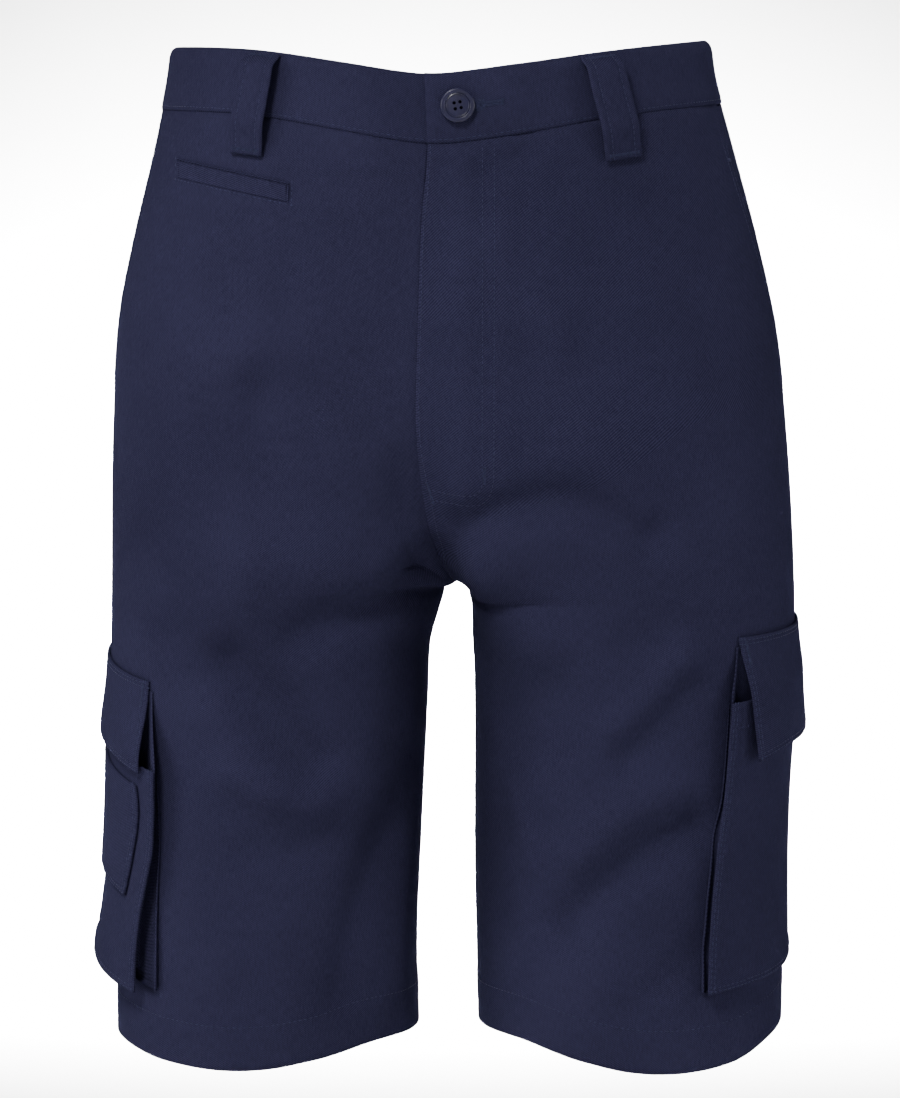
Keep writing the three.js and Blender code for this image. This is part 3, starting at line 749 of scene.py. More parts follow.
def panel_relief(side, sign, angle, drop, from_inner, from_side, from_hem):
    """Seam ridges, stitch grooves and puckers of a panel, in millimetres out."""
    relief = np.zeros(angle.shape)
    if side > 0 and sign > 0:
        relief += fly_raise(angle, drop)
        relief -= edge_round(from_inner, 1.8, 0.8) * (1 - smooth(drop, FLY_BOTTOM, FLY_BOTTOM + 25))
    # Side seam: the back is felled over the front. Above it the front's edge is the pocket's mouth
    if sign < 0:
        relief += 0.55 * (1 - smooth(from_side, 7.5, 9.5))
        relief += groove(from_side, 1.6) + groove(from_side, 7.6)
        relief += 0.16 * pucker(drop, 1.3 * side) * near(from_side - 4.5, 6)
    else:
        low = smooth(drop, MOUTH_BOTTOM - 20, MOUTH_BOTTOM)
        relief -= 0.5 * near(from_side, 1.8) * low
        relief += 0.5 * (1 - smooth(from_side, 6.5, 8.0)) * (1 - low)
        relief += sum(groove(from_side, row, 0.3) for row in MOUTH_ROWS) * (1 - low)
        relief += 0.12 * pucker(drop, 2.2 * side) * near(from_side, 7)
    # Centre back and inseam
    above = 1 - smooth(drop, CROTCH_DROP - 4, CROTCH_DROP + 10)
    if sign < 0:
        felled = 0.5 * (1 - smooth(from_inner, 7.5, 9.5)) * (side > 0)
        relief += (felled + groove(from_inner, 1.6) + groove(from_inner, 7.6) * (side > 0)) * above
        relief += 0.14 * pucker(drop, 0.7) * near(from_inner, 8) * above
    relief -= (0.95 if sign > 0 else 0.05) * near(from_inner, 1.6) * (1 - above)
    relief += 0.14 * pucker(drop, 2.9) * near(from_inner, 7) * (1 - above)
    # Hem
    relief += 0.3 * (1 - smooth(from_hem, HEM_FOLD - 0.8, HEM_FOLD + 0.8))
    relief += groove(from_hem, HEM_ROW, 0.4, 1.1)
    ripple = pucker(from_inner * 0.7 + from_hem * 0.25, 1.9 * side + sign)
    relief += 0.28 * ripple * near(from_hem - HEM_FOLD + 4, 9)
    return relief


def leg_panel(side, sign):
    angle, drop, from_inner, from_side, fold_row = panel_places(side, sign)
    bottom = drop[-1][None, :]
    from_hem = bottom - drop
    relief = panel_relief(side, sign, angle, drop, from_inner, from_side, from_hem)
    outer = cloth_point(side, angle, drop, relief)
    thick = np.where(np.arange(len(drop)) > fold_row, 2.2 * CLOTH, CLOTH)[:, None]
    thick = thick + (fly_raise(angle, drop) if side > 0 and sign > 0 else 0)
    inner = cloth_point(side, angle, drop, relief - thick)
    # Above the crotch the two sides meet along a line, which the creases leave where it is
    plain = form_point(side, angle, drop)[..., 0]
    pull = (1 - smooth(from_inner, 0, 16)) * (1 - smooth(drop, CROTCH_DROP - 6, CROTCH_DROP))
    for sheet in (outer, inner):
        sheet[..., 0] = lerp(sheet[..., 0], plain, pull)
    # Both edges reach a little past the line, so no slit shows between them
    over = 0.55 * (1 - smooth(drop[:, 0], CROTCH_DROP - 3, CROTCH_DROP))
    outer[:, 0, 0] -= side * over
    inner[:, 0, 0] -= side * over
    face = "front" if sign > 0 else "back"
    across = -from_side * side * sign
    name = f"{face}_{SIDES[side]}"
    make_cloth(name, outer, inner, across, drop, (0.3, 0.3, 0.05, 0.9), hem=HEM_FOLD)


class SHORTS_OT_leg_panels(bpy.types.Operator):
    """Make the four leg panels"""

    bl_idname = "shorts.leg_panels"
    bl_label = "Leg panels"

    def execute(self, context):
        for side in SIDES:
            for sign in (1, -1):
                leg_panel(side, sign)
        return {"FINISHED"}


def grid(columns, rows_):
    return np.meshgrid(np.linspace(0, 1, columns), np.linspace(0, 1, rows_))


def edge_round(distance, radius=1.2, depth=0.45):
    """How far a folded edge turns in, at a distance from it."""
    share = np.clip(1 - distance / radius, 0, 1)
    return depth * (1 - np.sqrt(1 - share * share))


def angle_across(side, drop, x):
    """Angle of the point that lies a distance across from the middle, on the front."""
    middle, half, _ = section_at(side, drop)
    share = signed_power((side * np.asarray(x, float) - middle) / half, ROUNDNESS / 2)
    return np.arccos(np.clip(share, -1, 1))


def turn_per_length(side, angle):
    """Radians for each millimetre round the waist."""
    step = 0.02
    reach = form_point(side, angle + step, 0) - form_point(side, angle - step, 0)
    return 2 * step / np.linalg.norm(reach)


def band_place(side, u, v):
    """Angle and drop on the waistband; u runs from the centre back to the fly and v up from the seam."""
    quarter = np.pi / 2
    end = quarter + math.radians(BAND_UNDER) if side < 0 else quarter
    angle = lerp(TRIM - quarter, end, u)
    low = band_seam(side, angle) - np.where(angle > quarter, 4 * SEAM_GAP, 0)
    return angle, lerp(low, waist_top(side, angle), v)


def band_out(side, angle, drop, from_seam):
    """The right end of the band laps over the left, and draws in to its seam."""
    _, half, _ = section_at(side, drop)
    plain = np.abs(half * signed_power(np.cos(angle), 2 / ROUNDNESS))
    lapped = np.where(angle > 0, 1 - smooth(plain, BAND_LAP_FROM, BAND_LAP_FROM + BAND_LAP_FADE), 0)
    lapped = lapped * lerp(0.4, 1, smooth(from_seam, 0, 11))
    return BAND_PROUD + (BAND_RISE * lapped if side > 0 else 0)


def waistband(side):
    u, v = grid(210, 30)
    angle, drop = band_place(side, u, v)
    height = band_seam(side, angle) - waist_top(side, angle)
    from_top, from_seam = (1 - v) * height, v * height
    out = band_out(side, angle, drop, from_seam)
    plain = cloth_point(side, angle, drop, out)
    along = np.concatenate([[0], np.cumsum(np.linalg.norm(np.diff(plain[10], axis=0), axis=1))])[None, :]
    from_end = along[0, -1] - along
    lean = 1.8 * np.clip(1 - from_top / 7, 0, 1) ** 2
    relief = groove(from_seam, BAND_ROW, 0.3) + 0.22 * pucker(along, side) * near(from_seam, 6)
    relief = relief + 0.10 * pucker(along * 0.7, 2.7) * near(from_top - 6, 7)
    turned = edge_round(from_top, 2.4, 1.0) + edge_round(from_seam, 1.4, 0.6) + edge_round(from_end, 1.6, 0.8)
    outer = cloth_point(side, angle, drop, out + relief - turned - lean)
    inner = cloth_point(side, angle, drop, out - BAND_CLOTH - lean + edge_round(from_top, 2.4, 1.0))
    across = np.broadcast_to(along, u.shape)
    make_cloth(f"waistband_{SIDES[side]}", outer, inner, across, drop, (0, 0.3, 0.3, 0.3))


def pocket_facing(side):
    """The cloth behind a slanting pocket mouth, from the side seam to under the front."""
    u, v = grid(40, 70)
    lap = math.radians(11)
    top = band_seam(side, mouth_angle(side, BAND_SIDE) + lap * u) + SEAM_GAP
    drop = lerp(top, MOUTH_BOTTOM - 6, v)
    angle = lerp(TRIM, mouth_angle(side, drop) + lap, u)
    under = 1.7 * smooth(u, 0, 0.16)
    outer = cloth_point(side, angle, drop, -under)
    inner = cloth_point(side, angle, drop, -under - CLOTH)
    make_cloth(f"pocket_facing_{SIDES[side]}", outer, inner, u * 40, drop)


def fly_shield():
    """The strip under the fly opening."""
    u, v = grid(40, 70)
    drop = lerp(BAND_CENTRE + 1, FLY_BOTTOM - 8, v)
    x = lerp(-16, FLY_WIDTH, u)
    grids = []
    for extra in (0, CLOTH):
        out = np.full(u.shape, -CLOTH - 1.5 - extra)
        left = cloth_point(-1, angle_across(-1, drop, np.minimum(x, -0.01)), drop, out)
        right = cloth_point(1, angle_across(1, drop, np.maximum(x, 0.01)), drop, out)
        grids.append(np.where((x < 0)[..., None], left, right))
    make_cloth("fly_shield", *grids, x, drop)


WELT = {"x0": -146.5, "d0": 43, "x1": -85.5, "d1": 55.5, "height": 10}


def welt_place(u, v):
    """Angle and drop on the welt; u runs from its outer end and v down from its upper edge."""
    drop = lerp(WELT["d0"], WELT["d1"], u) + v * WELT["height"]
    return angle_across(-1, drop, lerp(WELT["x0"], WELT["x1"], u)), drop


def welt_pocket():
    u, v = grid(240, 64)
    length = math.hypot(WELT["x1"] - WELT["x0"], WELT["d1"] - WELT["d0"])
    ends = np.minimum(u, 1 - u) * length
    down = v * WELT["height"]
    # A thin lip and a narrow gap mark where the strip goes in under the leg's cloth
    gap = np.maximum(near(down - 1.1, 0.42), near(ends - 1.1, 0.38) * (v > 0.1))
    strip = 0.95 - 0.55 * smooth(v, 0.25, 0.95) + 0.12 * pucker(u * length, 1.1)
    out = SEAM_GAP + strip - 0.95 * gap * strip - edge_round(down, 0.5, 0.2)
    place = welt_place(u, v)
    outer = cloth_point(-1, *place, out)
    inner = cloth_point(-1, *place, 0.12)
    make_cloth("welt_pocket", outer, inner, u * length, down, (0, 0, 0.2, 0))


# Belt loops: angles of head and foot, width, and how far each runs on below the band
LOOPS = rows(
    "name side head foot width reach",
    ("belt_loop_front_left", -1, 54.2, 52.5, 18.5, 21),
    ("belt_loop_front_right", 1, 61, 58.4, 20.5, 22.5),
    ("belt_loop_back_left", -1, -50, -49, 18, 20),
    ("belt_loop_back_right", 1, -50, -49, 18, 20),
    ("belt_loop_back", 1, -90, -90, 18, 20),
)
LOOP_LENGTH = 62
LOOP_GAP = 6.4
LOOP_CLOTH = 1.7
LOOP_ROWS = (0.2, 0.8)


def loop_point(loop, u, v, thick):
    """Point of a belt loop; v runs up from its foot."""
    side = loop["side"]
    turn = turn_per_length(side, math.radians(loop["head"]))
    angle = np.radians(lerp(loop["foot"], loop["head"], v)) + (u - 0.5) * loop["width"] * turn
    drop = lerp(band_seam(side, angle) + loop["reach"], waist_top(side, angle) + 1, v)
    lift = lerp(1.1, LOOP_GAP, smooth(v, -0.06, 0.34)) * (1 - smooth(v, 0.86, 0.99))
    seat = lerp(SEAM_GAP, BAND_PROUD + SEAM_GAP, smooth(v, 0.1, 0.36))
    return cloth_point(side, angle, drop, seat + lift + thick)


def belt_loop(loop):
    u, v = grid(28, 90)
    width = loop["width"]
    edge = np.minimum(u, 1 - u) * width
    along = v * LOOP_LENGTH
    ends = np.minimum(v, 1 - v) * LOOP_LENGTH
    wobble = 0.14 * pucker(along, loop["head"]) * (1 - np.abs(2 * u - 1))
    turned = edge_round(edge, 1.3, 0.6) + edge_round(ends, 1.3, 0.5)
    relief = groove(edge, LOOP_ROWS[0] * width, 0.45, 0.9) + wobble
    outer = loop_point(loop, u, v, LOOP_CLOTH + relief - turned)
    inner = loop_point(loop, u, v, 0.1 + edge_round(edge, 1.3, 0.3))
    make_cloth(loop["name"], outer, inner, u * width, along, (0.25, 0.25, 0.2, 0.2))


# Cargo pockets: angles round the leg in degrees, the rest in millimetres
POCKET_VALUES = (
    "back top bottom edge side_top side_bottom fold "
    "flap_front flap_corner flap_back flap_top flap_bottom flare dip tilt_top tilt_bottom"
)
POCKET = dict(zip((-1, 1), rows(
    POCKET_VALUES,
    (-50, 358.5, 480, 11, 1.9, 14, 10, 49.4, 51.4, -52, 315, 360, 2.2, 1, 10, 22),
    (-44, 330, 484, 7.5, 1.9, 3.2, 4, 57.7, 53.2, -47, 297, 357, 4.5, 5, 2, 9),
)))

# Front edge of each bag from mouth to bottom, and how far the gusset's foot lies before it
POCKET_FRONT = rows(
    "down left right foot_left foot_right",
    (0, 57, 62.8, -7, -2),
    (0.33, 55.4, 64.4, -3, -1.4),
    (0.5, 52.2, 66, 1, 0.4),
    (0.67, 48.8, 67.4, 6, 1.4),
    (0.83, 46.8, 68.2, 9.4, 1.9),
    (1, 45.8, 68.6, 11, 2),
)

# The narrow pocket: its front edge, the drop of its foot and its size
PHONE_FRONT = rows("down angle", (0, 47.5), (0.2, 48.6), (0.4, 47.4), (0.6, 45.2), (0.8, 43), (1, 40.5))
PHONE_DROP = 431
PHONE_WIDTH = 78
PHONE_LENGTH = 72

# The pockets' lines fall towards the front in full at this angle, and less behind the side seam
TILT_ANGLE = 60
TILT_BACK = 0.3
TILT_FROM = 300
TILT_TO = 490
FLAP_CLOTH = 1.9
BAG_CREASE = 0.2


def tilt_at(p, angle, drop):
    """How far the pocket's lines fall towards the front."""
    share = angle / math.radians(TILT_ANGLE)
    down = np.clip((drop - TILT_FROM) / (TILT_TO - TILT_FROM), 0, 1)
    return lerp(p["tilt_top"], p["tilt_bottom"], down) * share * np.where(share > 0, 1, TILT_BACK)


def bag_out(p, u, v):
    """How far the bag stands off the leg: most at its gusseted edges."""
    return lerp(lerp(p["side_top"], p["side_bottom"], v * v), p["edge"], np.abs(2 * u - 1) ** 2.5)


def bag_place(side, u, v, spread):
    p = POCKET[side]
    front = np.radians(table_at(POCKET_FRONT, "down", SIDES[side], v)) + spread / LEG_ROUND
    back = math.radians(p["back"]) - spread / LEG_ROUND
    angle = lerp(back, front, u)
    line = lerp(p["top"], p["bottom"], v)
    return angle, line + tilt_at(p, angle, line), bag_out(p, u, v)


def bag_size(side):
    """Width half way down the bag, and its length."""
    p = POCKET[side]
    width = math.radians(POCKET_FRONT[2][SIDES[side]] - p["back"]) * LEG_ROUND
    return width, p["bottom"] - p["top"]


def flap_size(side):
    p = POCKET[side]
    return math.radians(p["flap_front"] - p["flap_back"]) * LEG_ROUND, p["flap_bottom"] - p["flap_top"]


def free_edge(u, v, width, length):
    """Distance from the nearest side or the foot of a pocket piece."""
    return np.minimum(np.minimum(u, 1 - u) * width, (1 - v) * length)


def pocket_bag(side):
    u, v = grid(120, 100)
    angle, drop, out = bag_place(side, u, v, 0)
    width, length = bag_size(side)
    edge = free_edge(u, v, width, length)
    top = v * length
    relief = 0.7 * (1 - smooth(edge, 5.5, 7.5)) + twin_grooves(edge)
    relief += groove(top, 14, 0.3) + 0.3 * (1 - smooth(top, 14, 16))
    relief += 0.2 * pucker(drop + 40 * u, side) * near(edge - 6, 8)
    relief += 1.1 * np.sin(np.pi * u) ** 2 * np.sin(3.1 * v + 5 * u + side) * smooth(v, 0.05, 0.4)
    turned = edge_round(edge, 1.4, 0.5)
    outer = cloth_point(side, angle, drop, out + relief - turned, BAG_CREASE)
    thick = CLOTH + 0.9 * (1 - smooth(edge, 5.5, 7.5))
    inner = cloth_point(side, angle, drop, out + relief - thick, BAG_CREASE)
    make_cloth(f"cargo_bag_{SIDES[side]}", outer, inner, u * width, drop, (0.2, 0.2, 0.2, 0.2))


def pocket_gusset(side):
    """The gusset runs in from the leg, under the bag and out to its edge, and up to the flap's corners."""
    p = POCKET[side]
    steps = 80
    up = (p["top"] - p["flap_top"] - 5) / (p["bottom"] - p["top"])
    down = np.concatenate([np.linspace(-up, 1, steps), np.ones(steps), np.linspace(1, -up, steps)])
    u = np.concatenate([np.ones(steps), np.linspace(1, 0, steps + 2)[1:-1], np.zeros(steps)])
    v = np.linspace(0, 1, 30)[:, None]
    down, u = down[None, :], u[None, :]
    above = smooth(-down, 0, up)
    grids = []
    for inset in (0, CLOTH):
        foot = table_at(POCKET_FRONT, "down", f"foot_{SIDES[side]}", down) * (1 - smooth(v, 0, 0.6))
        tuck = p["fold"] * np.sin(np.pi * smooth(v, 0.05, 1)) * (1 - 0.7 * above)
        spread = foot - tuck - inset - 0.85 * p["edge"] * above
        angle, drop, out = bag_place(side, u, down, spread)
        out = lerp(out, 2.2, above)
        lip = 3.4 * near(v, 0.08) * np.clip(down, 0, 1)
        rise = lerp(0.4, out - CLOTH - 0.6, smooth(v, 0.4, 1)) + lip
        placed = drop - (tuck + 0.35 * foot) * np.clip(down, 0, 1)
        grids.append(cloth_point(side, angle, placed, rise, lerp(1, BAG_CREASE, v)))
    along = np.broadcast_to(np.arange(3 * steps)[None, :] * 1.8, grids[0].shape[:2])
    across = np.broadcast_to(v * 12, along.shape)
    make_cloth(f"cargo_gusset_{SIDES[side]}", *grids, along, across, held="folded")


def flap_point(side, u, v, thick):
    p = POCKET[side]
    reach = (p["top"] - p["flap_top"]) / (p["flap_bottom"] - p["flap_top"]) - 0.06
    angle = np.radians(lerp(p["flap_back"], lerp(p["flap_front"], p["flap_corner"], v), u))
    line = lerp(p["flap_top"], p["flap_bottom"], v)
    across = (angle - math.radians(p["back"])) / math.radians(POCKET_FRONT[0][SIDES[side]] - p["back"])
    over = bag_out(p, np.clip(across, 0, 1), 0) + 1 + p["flare"] * v * v
    out = lerp(0.5, over, smooth(v, 0, reach))
    corner = np.clip((u - 0.78) / 0.22, 0, 1) ** 1.5
    drop = line + tilt_at(p, angle, line) + p["dip"] * v * corner
    return cloth_point(side, angle, drop, out + thick, BAG_CREASE)


def pocket_flap(side):
    u, v = grid(120, 44)
    width, length = flap_size(side)
    edge = free_edge(u, v, width, length)
    top = v * length
    relief = twin_grooves(edge) + twin_grooves(top)
    relief += 0.22 * pucker(u * width, side) * near(edge - 5, 8)
    relief += 0.8 * np.sin(2.4 * np.pi * u + side) * smooth(v, 0.2, 1)
    turned = edge_round(edge, 1.5, 0.7) + edge_round(top, 1.2, 0.4)
    outer = flap_point(side, u, v, FLAP_CLOTH + relief - turned)
    inner = flap_point(side, u, v, relief)
    name = f"cargo_flap_{SIDES[side]}"
    make_cloth(name, outer, inner, u * width, v * length, (0.3, 0.3, 0, 0.3), held="hung")


def phone_place(u, v):
    p = POCKET[-1]
    end = (PHONE_DROP - p["top"]) / (p["bottom"] - p["top"])
    down = lerp(0.09, end, v)
    reach = table_at(POCKET_FRONT, "down", "left", down) - p["back"]
    front = table_at(PHONE_FRONT, "down", "angle", v)
    s = lerp((-4 - p["back"]) / reach, (front - p["back"]) / reach, u)
    return bag_place(-1, s, down, 0)


def phone_pocket():
    """The narrow pocket laid on the left bag, its front corner cut back."""
    u, v = grid(80, 80)
    angle, drop, out = phone_place(u, v)
    edge = free_edge(u, v, PHONE_WIDTH, PHONE_LENGTH)
    relief = twin_grooves(edge) + 0.2 * pucker(drop + 30 * u, 2) * near(edge, 9)
    relief += 0.6 * np.sin(np.pi * u) * np.sin(np.pi * v)
    raised = out + SEAM_GAP + 2.2 + relief - edge_round(edge, 1.4, 0.6)
    outer = cloth_point(-1, angle, drop, raised, BAG_CREASE)
    inner = cloth_point(-1, angle, drop, out + SEAM_GAP, BAG_CREASE)
    across, down = u * PHONE_WIDTH, v * PHONE_LENGTH
    make_cloth("phone_pocket", outer, inner, across, down, (0.2, 0.2, 0.2, 0.2))


# Button: where its middle lies on the band, its size and its four holes
BUTTON_ACROSS = 12.8
BUTTON_DROP = 15.4
BUTTON_RADIUS = 9
BUTTON_THICK = 3
BUTTON_HOLE = 0.9
BUTTON_HOLE_REACH = 2.208
BUTTON_HOLE_TURN = 0.2


def lathe(profile, segments):
    """A closed turned solid from pairs of radius and height that start and end on the axis."""
    mesh = bmesh.new()
    turn = 2 * math.pi / segments
    rings = []
    for radius, height in profile:
        count = 1 if radius == 0 else segments
        spots = [(radius * math.cos(i * turn), radius * math.sin(i * turn), height) for i in range(count)]
        rings.append([mesh.verts.new(spot) for spot in spots])
    for low, high in zip(rings, rings[1:]):
        for i in range(segments):
            j = (i + 1) % segments
            corners = [low[i % len(low)], low[j % len(low)], high[j % len(high)], high[i % len(high)]]
            mesh.faces.new(list(dict.fromkeys(corners)))
    bmesh.ops.recalc_face_normals(mesh, faces=mesh.faces)
    return mesh


def arc(centre, radius, start, end, steps):
    """Points of a rounded corner in the profile."""
    turns = np.radians(np.linspace(start, end, steps))
    return [(centre[0] + radius * math.cos(t), centre[1] + radius * math.sin(t)) for t in turns]


def button_holes():
    turns = [math.pi / 4 + i * math.pi / 2 + BUTTON_HOLE_TURN for i in range(4)]
    return [(BUTTON_HOLE_REACH * math.cos(t), BUTTON_HOLE_REACH * math.sin(t)) for t in turns]


def button_frame():
    """Where the button sits: its middle and three directions, its own axis last."""
    angle = angle_across(1, BUTTON_DROP, BUTTON_ACROSS)
    normal = form_normal(1, angle, BUTTON_DROP)
    middle = cloth_point(1, angle, BUTTON_DROP, BAND_PROUD + BAND_RISE + 2 * SEAM_GAP)
    right = np.cross([0, 0, 1.0], -normal)
    right /= np.linalg.norm(right)
    up = np.cross(normal, right)
    return middle, right, up, normal


def button():
    r, t = BUTTON_RADIUS, BUTTON_THICK
    profile = [(0, 0), (r - 1.2, 0)] + arc((r - 0.9, 0.9), 0.9, -90, 0, 6)
    profile += arc((r - 0.9, t - 0.9), 0.9, 0, 90, 8)
    profile += arc((r - 2.0, t - 0.45), 0.45, 90, 200, 7) + arc((r - 3.4, t - 0.55), 0.45, 20, -90, 6)
    profile += [(2.0, t - 1.05), (0, t - 1.1)]
    mesh = lathe(profile, 72)
    body = bpy.data.meshes.new("button_body")
    mesh.to_mesh(body)
    mesh.free()
    holder = add_object("navy_button", body)
    drill = bmesh.new()
    for x, y in button_holes():
        hole = bmesh.ops.create_cone(
            drill, cap_ends=True, segments=20, radius1=BUTTON_HOLE, radius2=BUTTON_HOLE,
            depth=3 * BUTTON_THICK,
        )
        bmesh.ops.translate(drill, verts=hole["verts"], vec=(x, y, 0))
    cutter_mesh = bpy.data.meshes.new("button_drill")
    drill.to_mesh(cutter_mesh)
    drill.free()
    cutter = add_object("button_drill", cutter_mesh)
    cut_out = holder.modifiers.new("holes", "BOOLEAN")
    cut_out.object = cutter
    cut_out.solver = "EXACT"
    finished = bpy.data.meshes.new_from_object(holder.evaluated_get(bpy.context.evaluated_depsgraph_get()))
    holder.modifiers.clear()
    holder.data = finished
    bpy.data.objects.remove(cutter)
    middle, right, up, normal = button_frame()
    spots = np.empty(len(finished.vertices) * 3)
    finished.vertices.foreach_get("co", spots)
    spots = spots.reshape(-1, 3)
    placed = middle + spots[:, :1] * right + spots[:, 1:2] * up + spots[:, 2:] * normal
    finished.vertices.foreach_set("co", (placed * MM).ravel())
    shade_smooth(finished)
    finished.set_sharp_from_angle(angle=math.radians(35))
    settle(holder, "button", "button")


class SHORTS_OT_waistband(bpy.types.Operator):
    """Make the two halves of the waistband"""

    bl_idname = "shorts.waistband"
    bl_label = "Waistband"

    def execute(self, context):
        for side in SIDES:
            waistband(side)
        return {"FINISHED"}


class SHORTS_OT_openings(bpy.types.Operator):
    """Make what lies behind the fly and the slanting side pockets, and the small welt pocket"""

    bl_idname = "shorts.openings"
    bl_label = "Fly, facings and welt"

    def execute(self, context):
        fly_shield()
        for side in SIDES:
            pocket_facing(side)
        welt_pocket()
        return {"FINISHED"}


class SHORTS_OT_cargo_pockets(bpy.types.Operator):
    """Make the bag, gusset and flap on each leg, and the phone pocket on the left bag"""

    bl_idname = "shorts.cargo_pockets"
    bl_label = "Cargo pockets"

    def execute(self, context):
        for side in SIDES:
            pocket_bag(side)
            pocket_gusset(side)
            pocket_flap(side)
        phone_pocket()
        return {"FINISHED"}


class SHORTS_OT_belt_loops(bpy.types.Operator):
    """Make the five belt loops"""

    bl_idname = "shorts.belt_loops"
    bl_label = "Belt loops"

    def execute(self, context):
        for loop in LOOPS:
            belt_loop(loop)
        return {"FINISHED"}


class SHORTS_OT_button(bpy.types.Operator):
    """Make the four-hole button"""

    bl_idname = "shorts.button"
    bl_label = "Button"

    def execute(self, context):
        button()
        return {"FINISHED"}


# Rows of stitches: each is a path that lies on one finished piece, in a group with its own kind of stitch
STITCH_KINDS = rows(
    "kind pitch length width height turn",
    ("row", 3.0, 2.3, 0.5, 0.36, 0),
    ("tack", 0.55, 2.2, 0.42, 0.4, math.pi / 2),
    ("hole", 0.5, 1.9, 0.4, 0.5, math.pi / 2),
)
SURFACES = {}


def surface_of(name):
    """A search tree of a finished piece's outer side."""
    if name not in SURFACES:
        mesh = PANELS[name].data
        SURFACES[name] = BVHTree.FromPolygons(
            [v.co.copy() for v in mesh.vertices], [tuple(p.vertices) for p in mesh.polygons]
        )
    return SURFACES[name]


class Sewing:
    """Collects paths laid on pieces, then turns them into stitches."""

    def __init__(self):
        self.paths = []

    def sew(self, name, points, normals, kind="row"):
        """Drop a path onto a piece, from outside."""
        tree = surface_of(name)
        laid = []
        for point, normal in zip(points * MM, normals):
            start = Vector(point + normal * 0.009)
            spot, facing, _, _ = tree.ray_cast(start, Vector(-normal), 0.018)
            if spot is not None:
                facing = facing if facing.dot(Vector(normal)) > 0 else -facing
                laid.append((spot + facing * 0.00006, facing))
        if len(laid) > 1:
            self.paths.append((kind, laid))

    def make(self, name):
        for kind in STITCH_KINDS:
            chosen = [path for label, path in self.paths if label == kind["kind"]]
            if chosen:
                self.make_kind(f"{name}_{kind['kind']}", kind, chosen)

    def make_kind(self, name, kind, paths):
        spots, edges, facings = [], [], []
        for path in paths:
            first = len(spots)
            spots += [tuple(spot) for spot, _ in path]
            facings += [tuple(facing) for _, facing in path]
            edges += [(i, i + 1) for i in range(first, len(spots) - 1)]
        mesh = bpy.data.meshes.new(name)
        mesh.from_pydata(spots, edges, [])
        layer = mesh.attributes.new("facing", "FLOAT_VECTOR", "POINT")
        layer.data.foreach_set("vector", np.array(facings).ravel())
        piece = add_object(name, mesh)
        tree = stitch_tree()
        maker = piece.modifiers.new("stitches", "NODES")
        maker.node_group = tree
        values = {
            "Pitch": kind["pitch"] * MM, "Length": kind["length"] * MM, "Width": kind["width"] * MM,
            "Height": kind["height"] * MM, "Turn": kind["turn"], "Thread": sewing_thread(),
        }
        for item in tree.interface.items_tree:
            if item.name in values:
                maker[item.identifier] = values[item.name]
        evaluated = piece.evaluated_get(bpy.context.evaluated_depsgraph_get())
        finished = bpy.data.meshes.new_from_object(evaluated)
        piece.modifiers.clear()
        piece.data = finished
        if not len(finished.polygons):
            raise RuntimeError(f"{name} has no stitches")
        shade_smooth(finished)
        settle(piece, "thread")


@once
def stitch_tree():
    """Stitches along a path: one small rounded thread for each step, turned to the path and the cloth."""
    tree = bpy.data.node_groups.new("stitches", "GeometryNodeTree")
    face = tree.interface
    face.new_socket("Geometry", in_out="INPUT", socket_type="NodeSocketGeometry")
    for label in ("Pitch", "Length", "Width", "Height", "Turn"):
        face.new_socket(label, in_out="INPUT", socket_type="NodeSocketFloat")
    face.new_socket("Thread", in_out="INPUT", socket_type="NodeSocketMaterial")
    face.new_socket("Geometry", in_out="OUTPUT", socket_type="NodeSocketGeometry")

    given = tree.nodes.new("NodeGroupInput").outputs

    def node(kind, output, values=None, **settings):
        return add_node(tree, kind, settings, values).outputs[output]

    curve = node("GeometryNodeMeshToCurve", "Curve", {"Mesh": given["Geometry"]})
    even = node(
        "GeometryNodeResampleCurve", "Curve", {"Curve": curve, "Length": given["Pitch"]}, mode="LENGTH"
    )
    grain = node("GeometryNodeMeshUVSphere", "Mesh", {"Segments": 6, "Rings": 5, "Radius": 0.5})
    size = {"X": given["Length"], "Y": given["Width"], "Z": given["Height"]}
    size = node("ShaderNodeCombineXYZ", "Vector", size)
    thread = node("GeometryNodeTransform", "Geometry", {"Geometry": grain, "Scale": size})
    tangent = node("GeometryNodeInputTangent", "Tangent")
    along = node("FunctionNodeAlignRotationToVector", "Rotation", {"Vector": tangent}, axis="X")
    facing = node(
        "GeometryNodeInputNamedAttribute", "Attribute", {"Name": "facing"}, data_type="FLOAT_VECTOR"
    )
    upright = node(
        "FunctionNodeAlignRotationToVector", "Rotation", {"Rotation": along, "Vector": facing},
        axis="Z", pivot_axis="X",
    )
    uneven = node("FunctionNodeRandomValue", 1, {2: -0.09, 3: 0.09, "Seed": 7}, data_type="FLOAT")
    sway = node("ShaderNodeMath", 0, {0: given["Turn"], 1: uneven}, operation="ADD")
    turn = node("ShaderNodeCombineXYZ", "Vector", {"Z": sway})
    spun = node(
        "FunctionNodeRotateRotation", "Rotation", {"Rotation": upright, "Rotate By": turn},
        rotation_space="LOCAL",
    )
    placed = node(
        "GeometryNodeInstanceOnPoints", "Instances", {"Points": even, "Instance": thread, "Rotation": spun}
    )
    real = node("GeometryNodeRealizeInstances", "Geometry", {"Geometry": placed})
    coated = node("GeometryNodeSetMaterial", "Geometry", {"Geometry": real, "Material": given["Thread"]})
    add_node(tree, "NodeGroupOutput", {}, {"Geometry": coated})
    return tree


def sew_at(sewing, name, side, angle, drop, out=0, kind="row"):
    """Sew along angles and drops on the body form, to a piece that stands off by a distance."""
    sewing.sew(name, cloth_point(side, angle, drop, out), form_normal(side, angle, drop), kind)


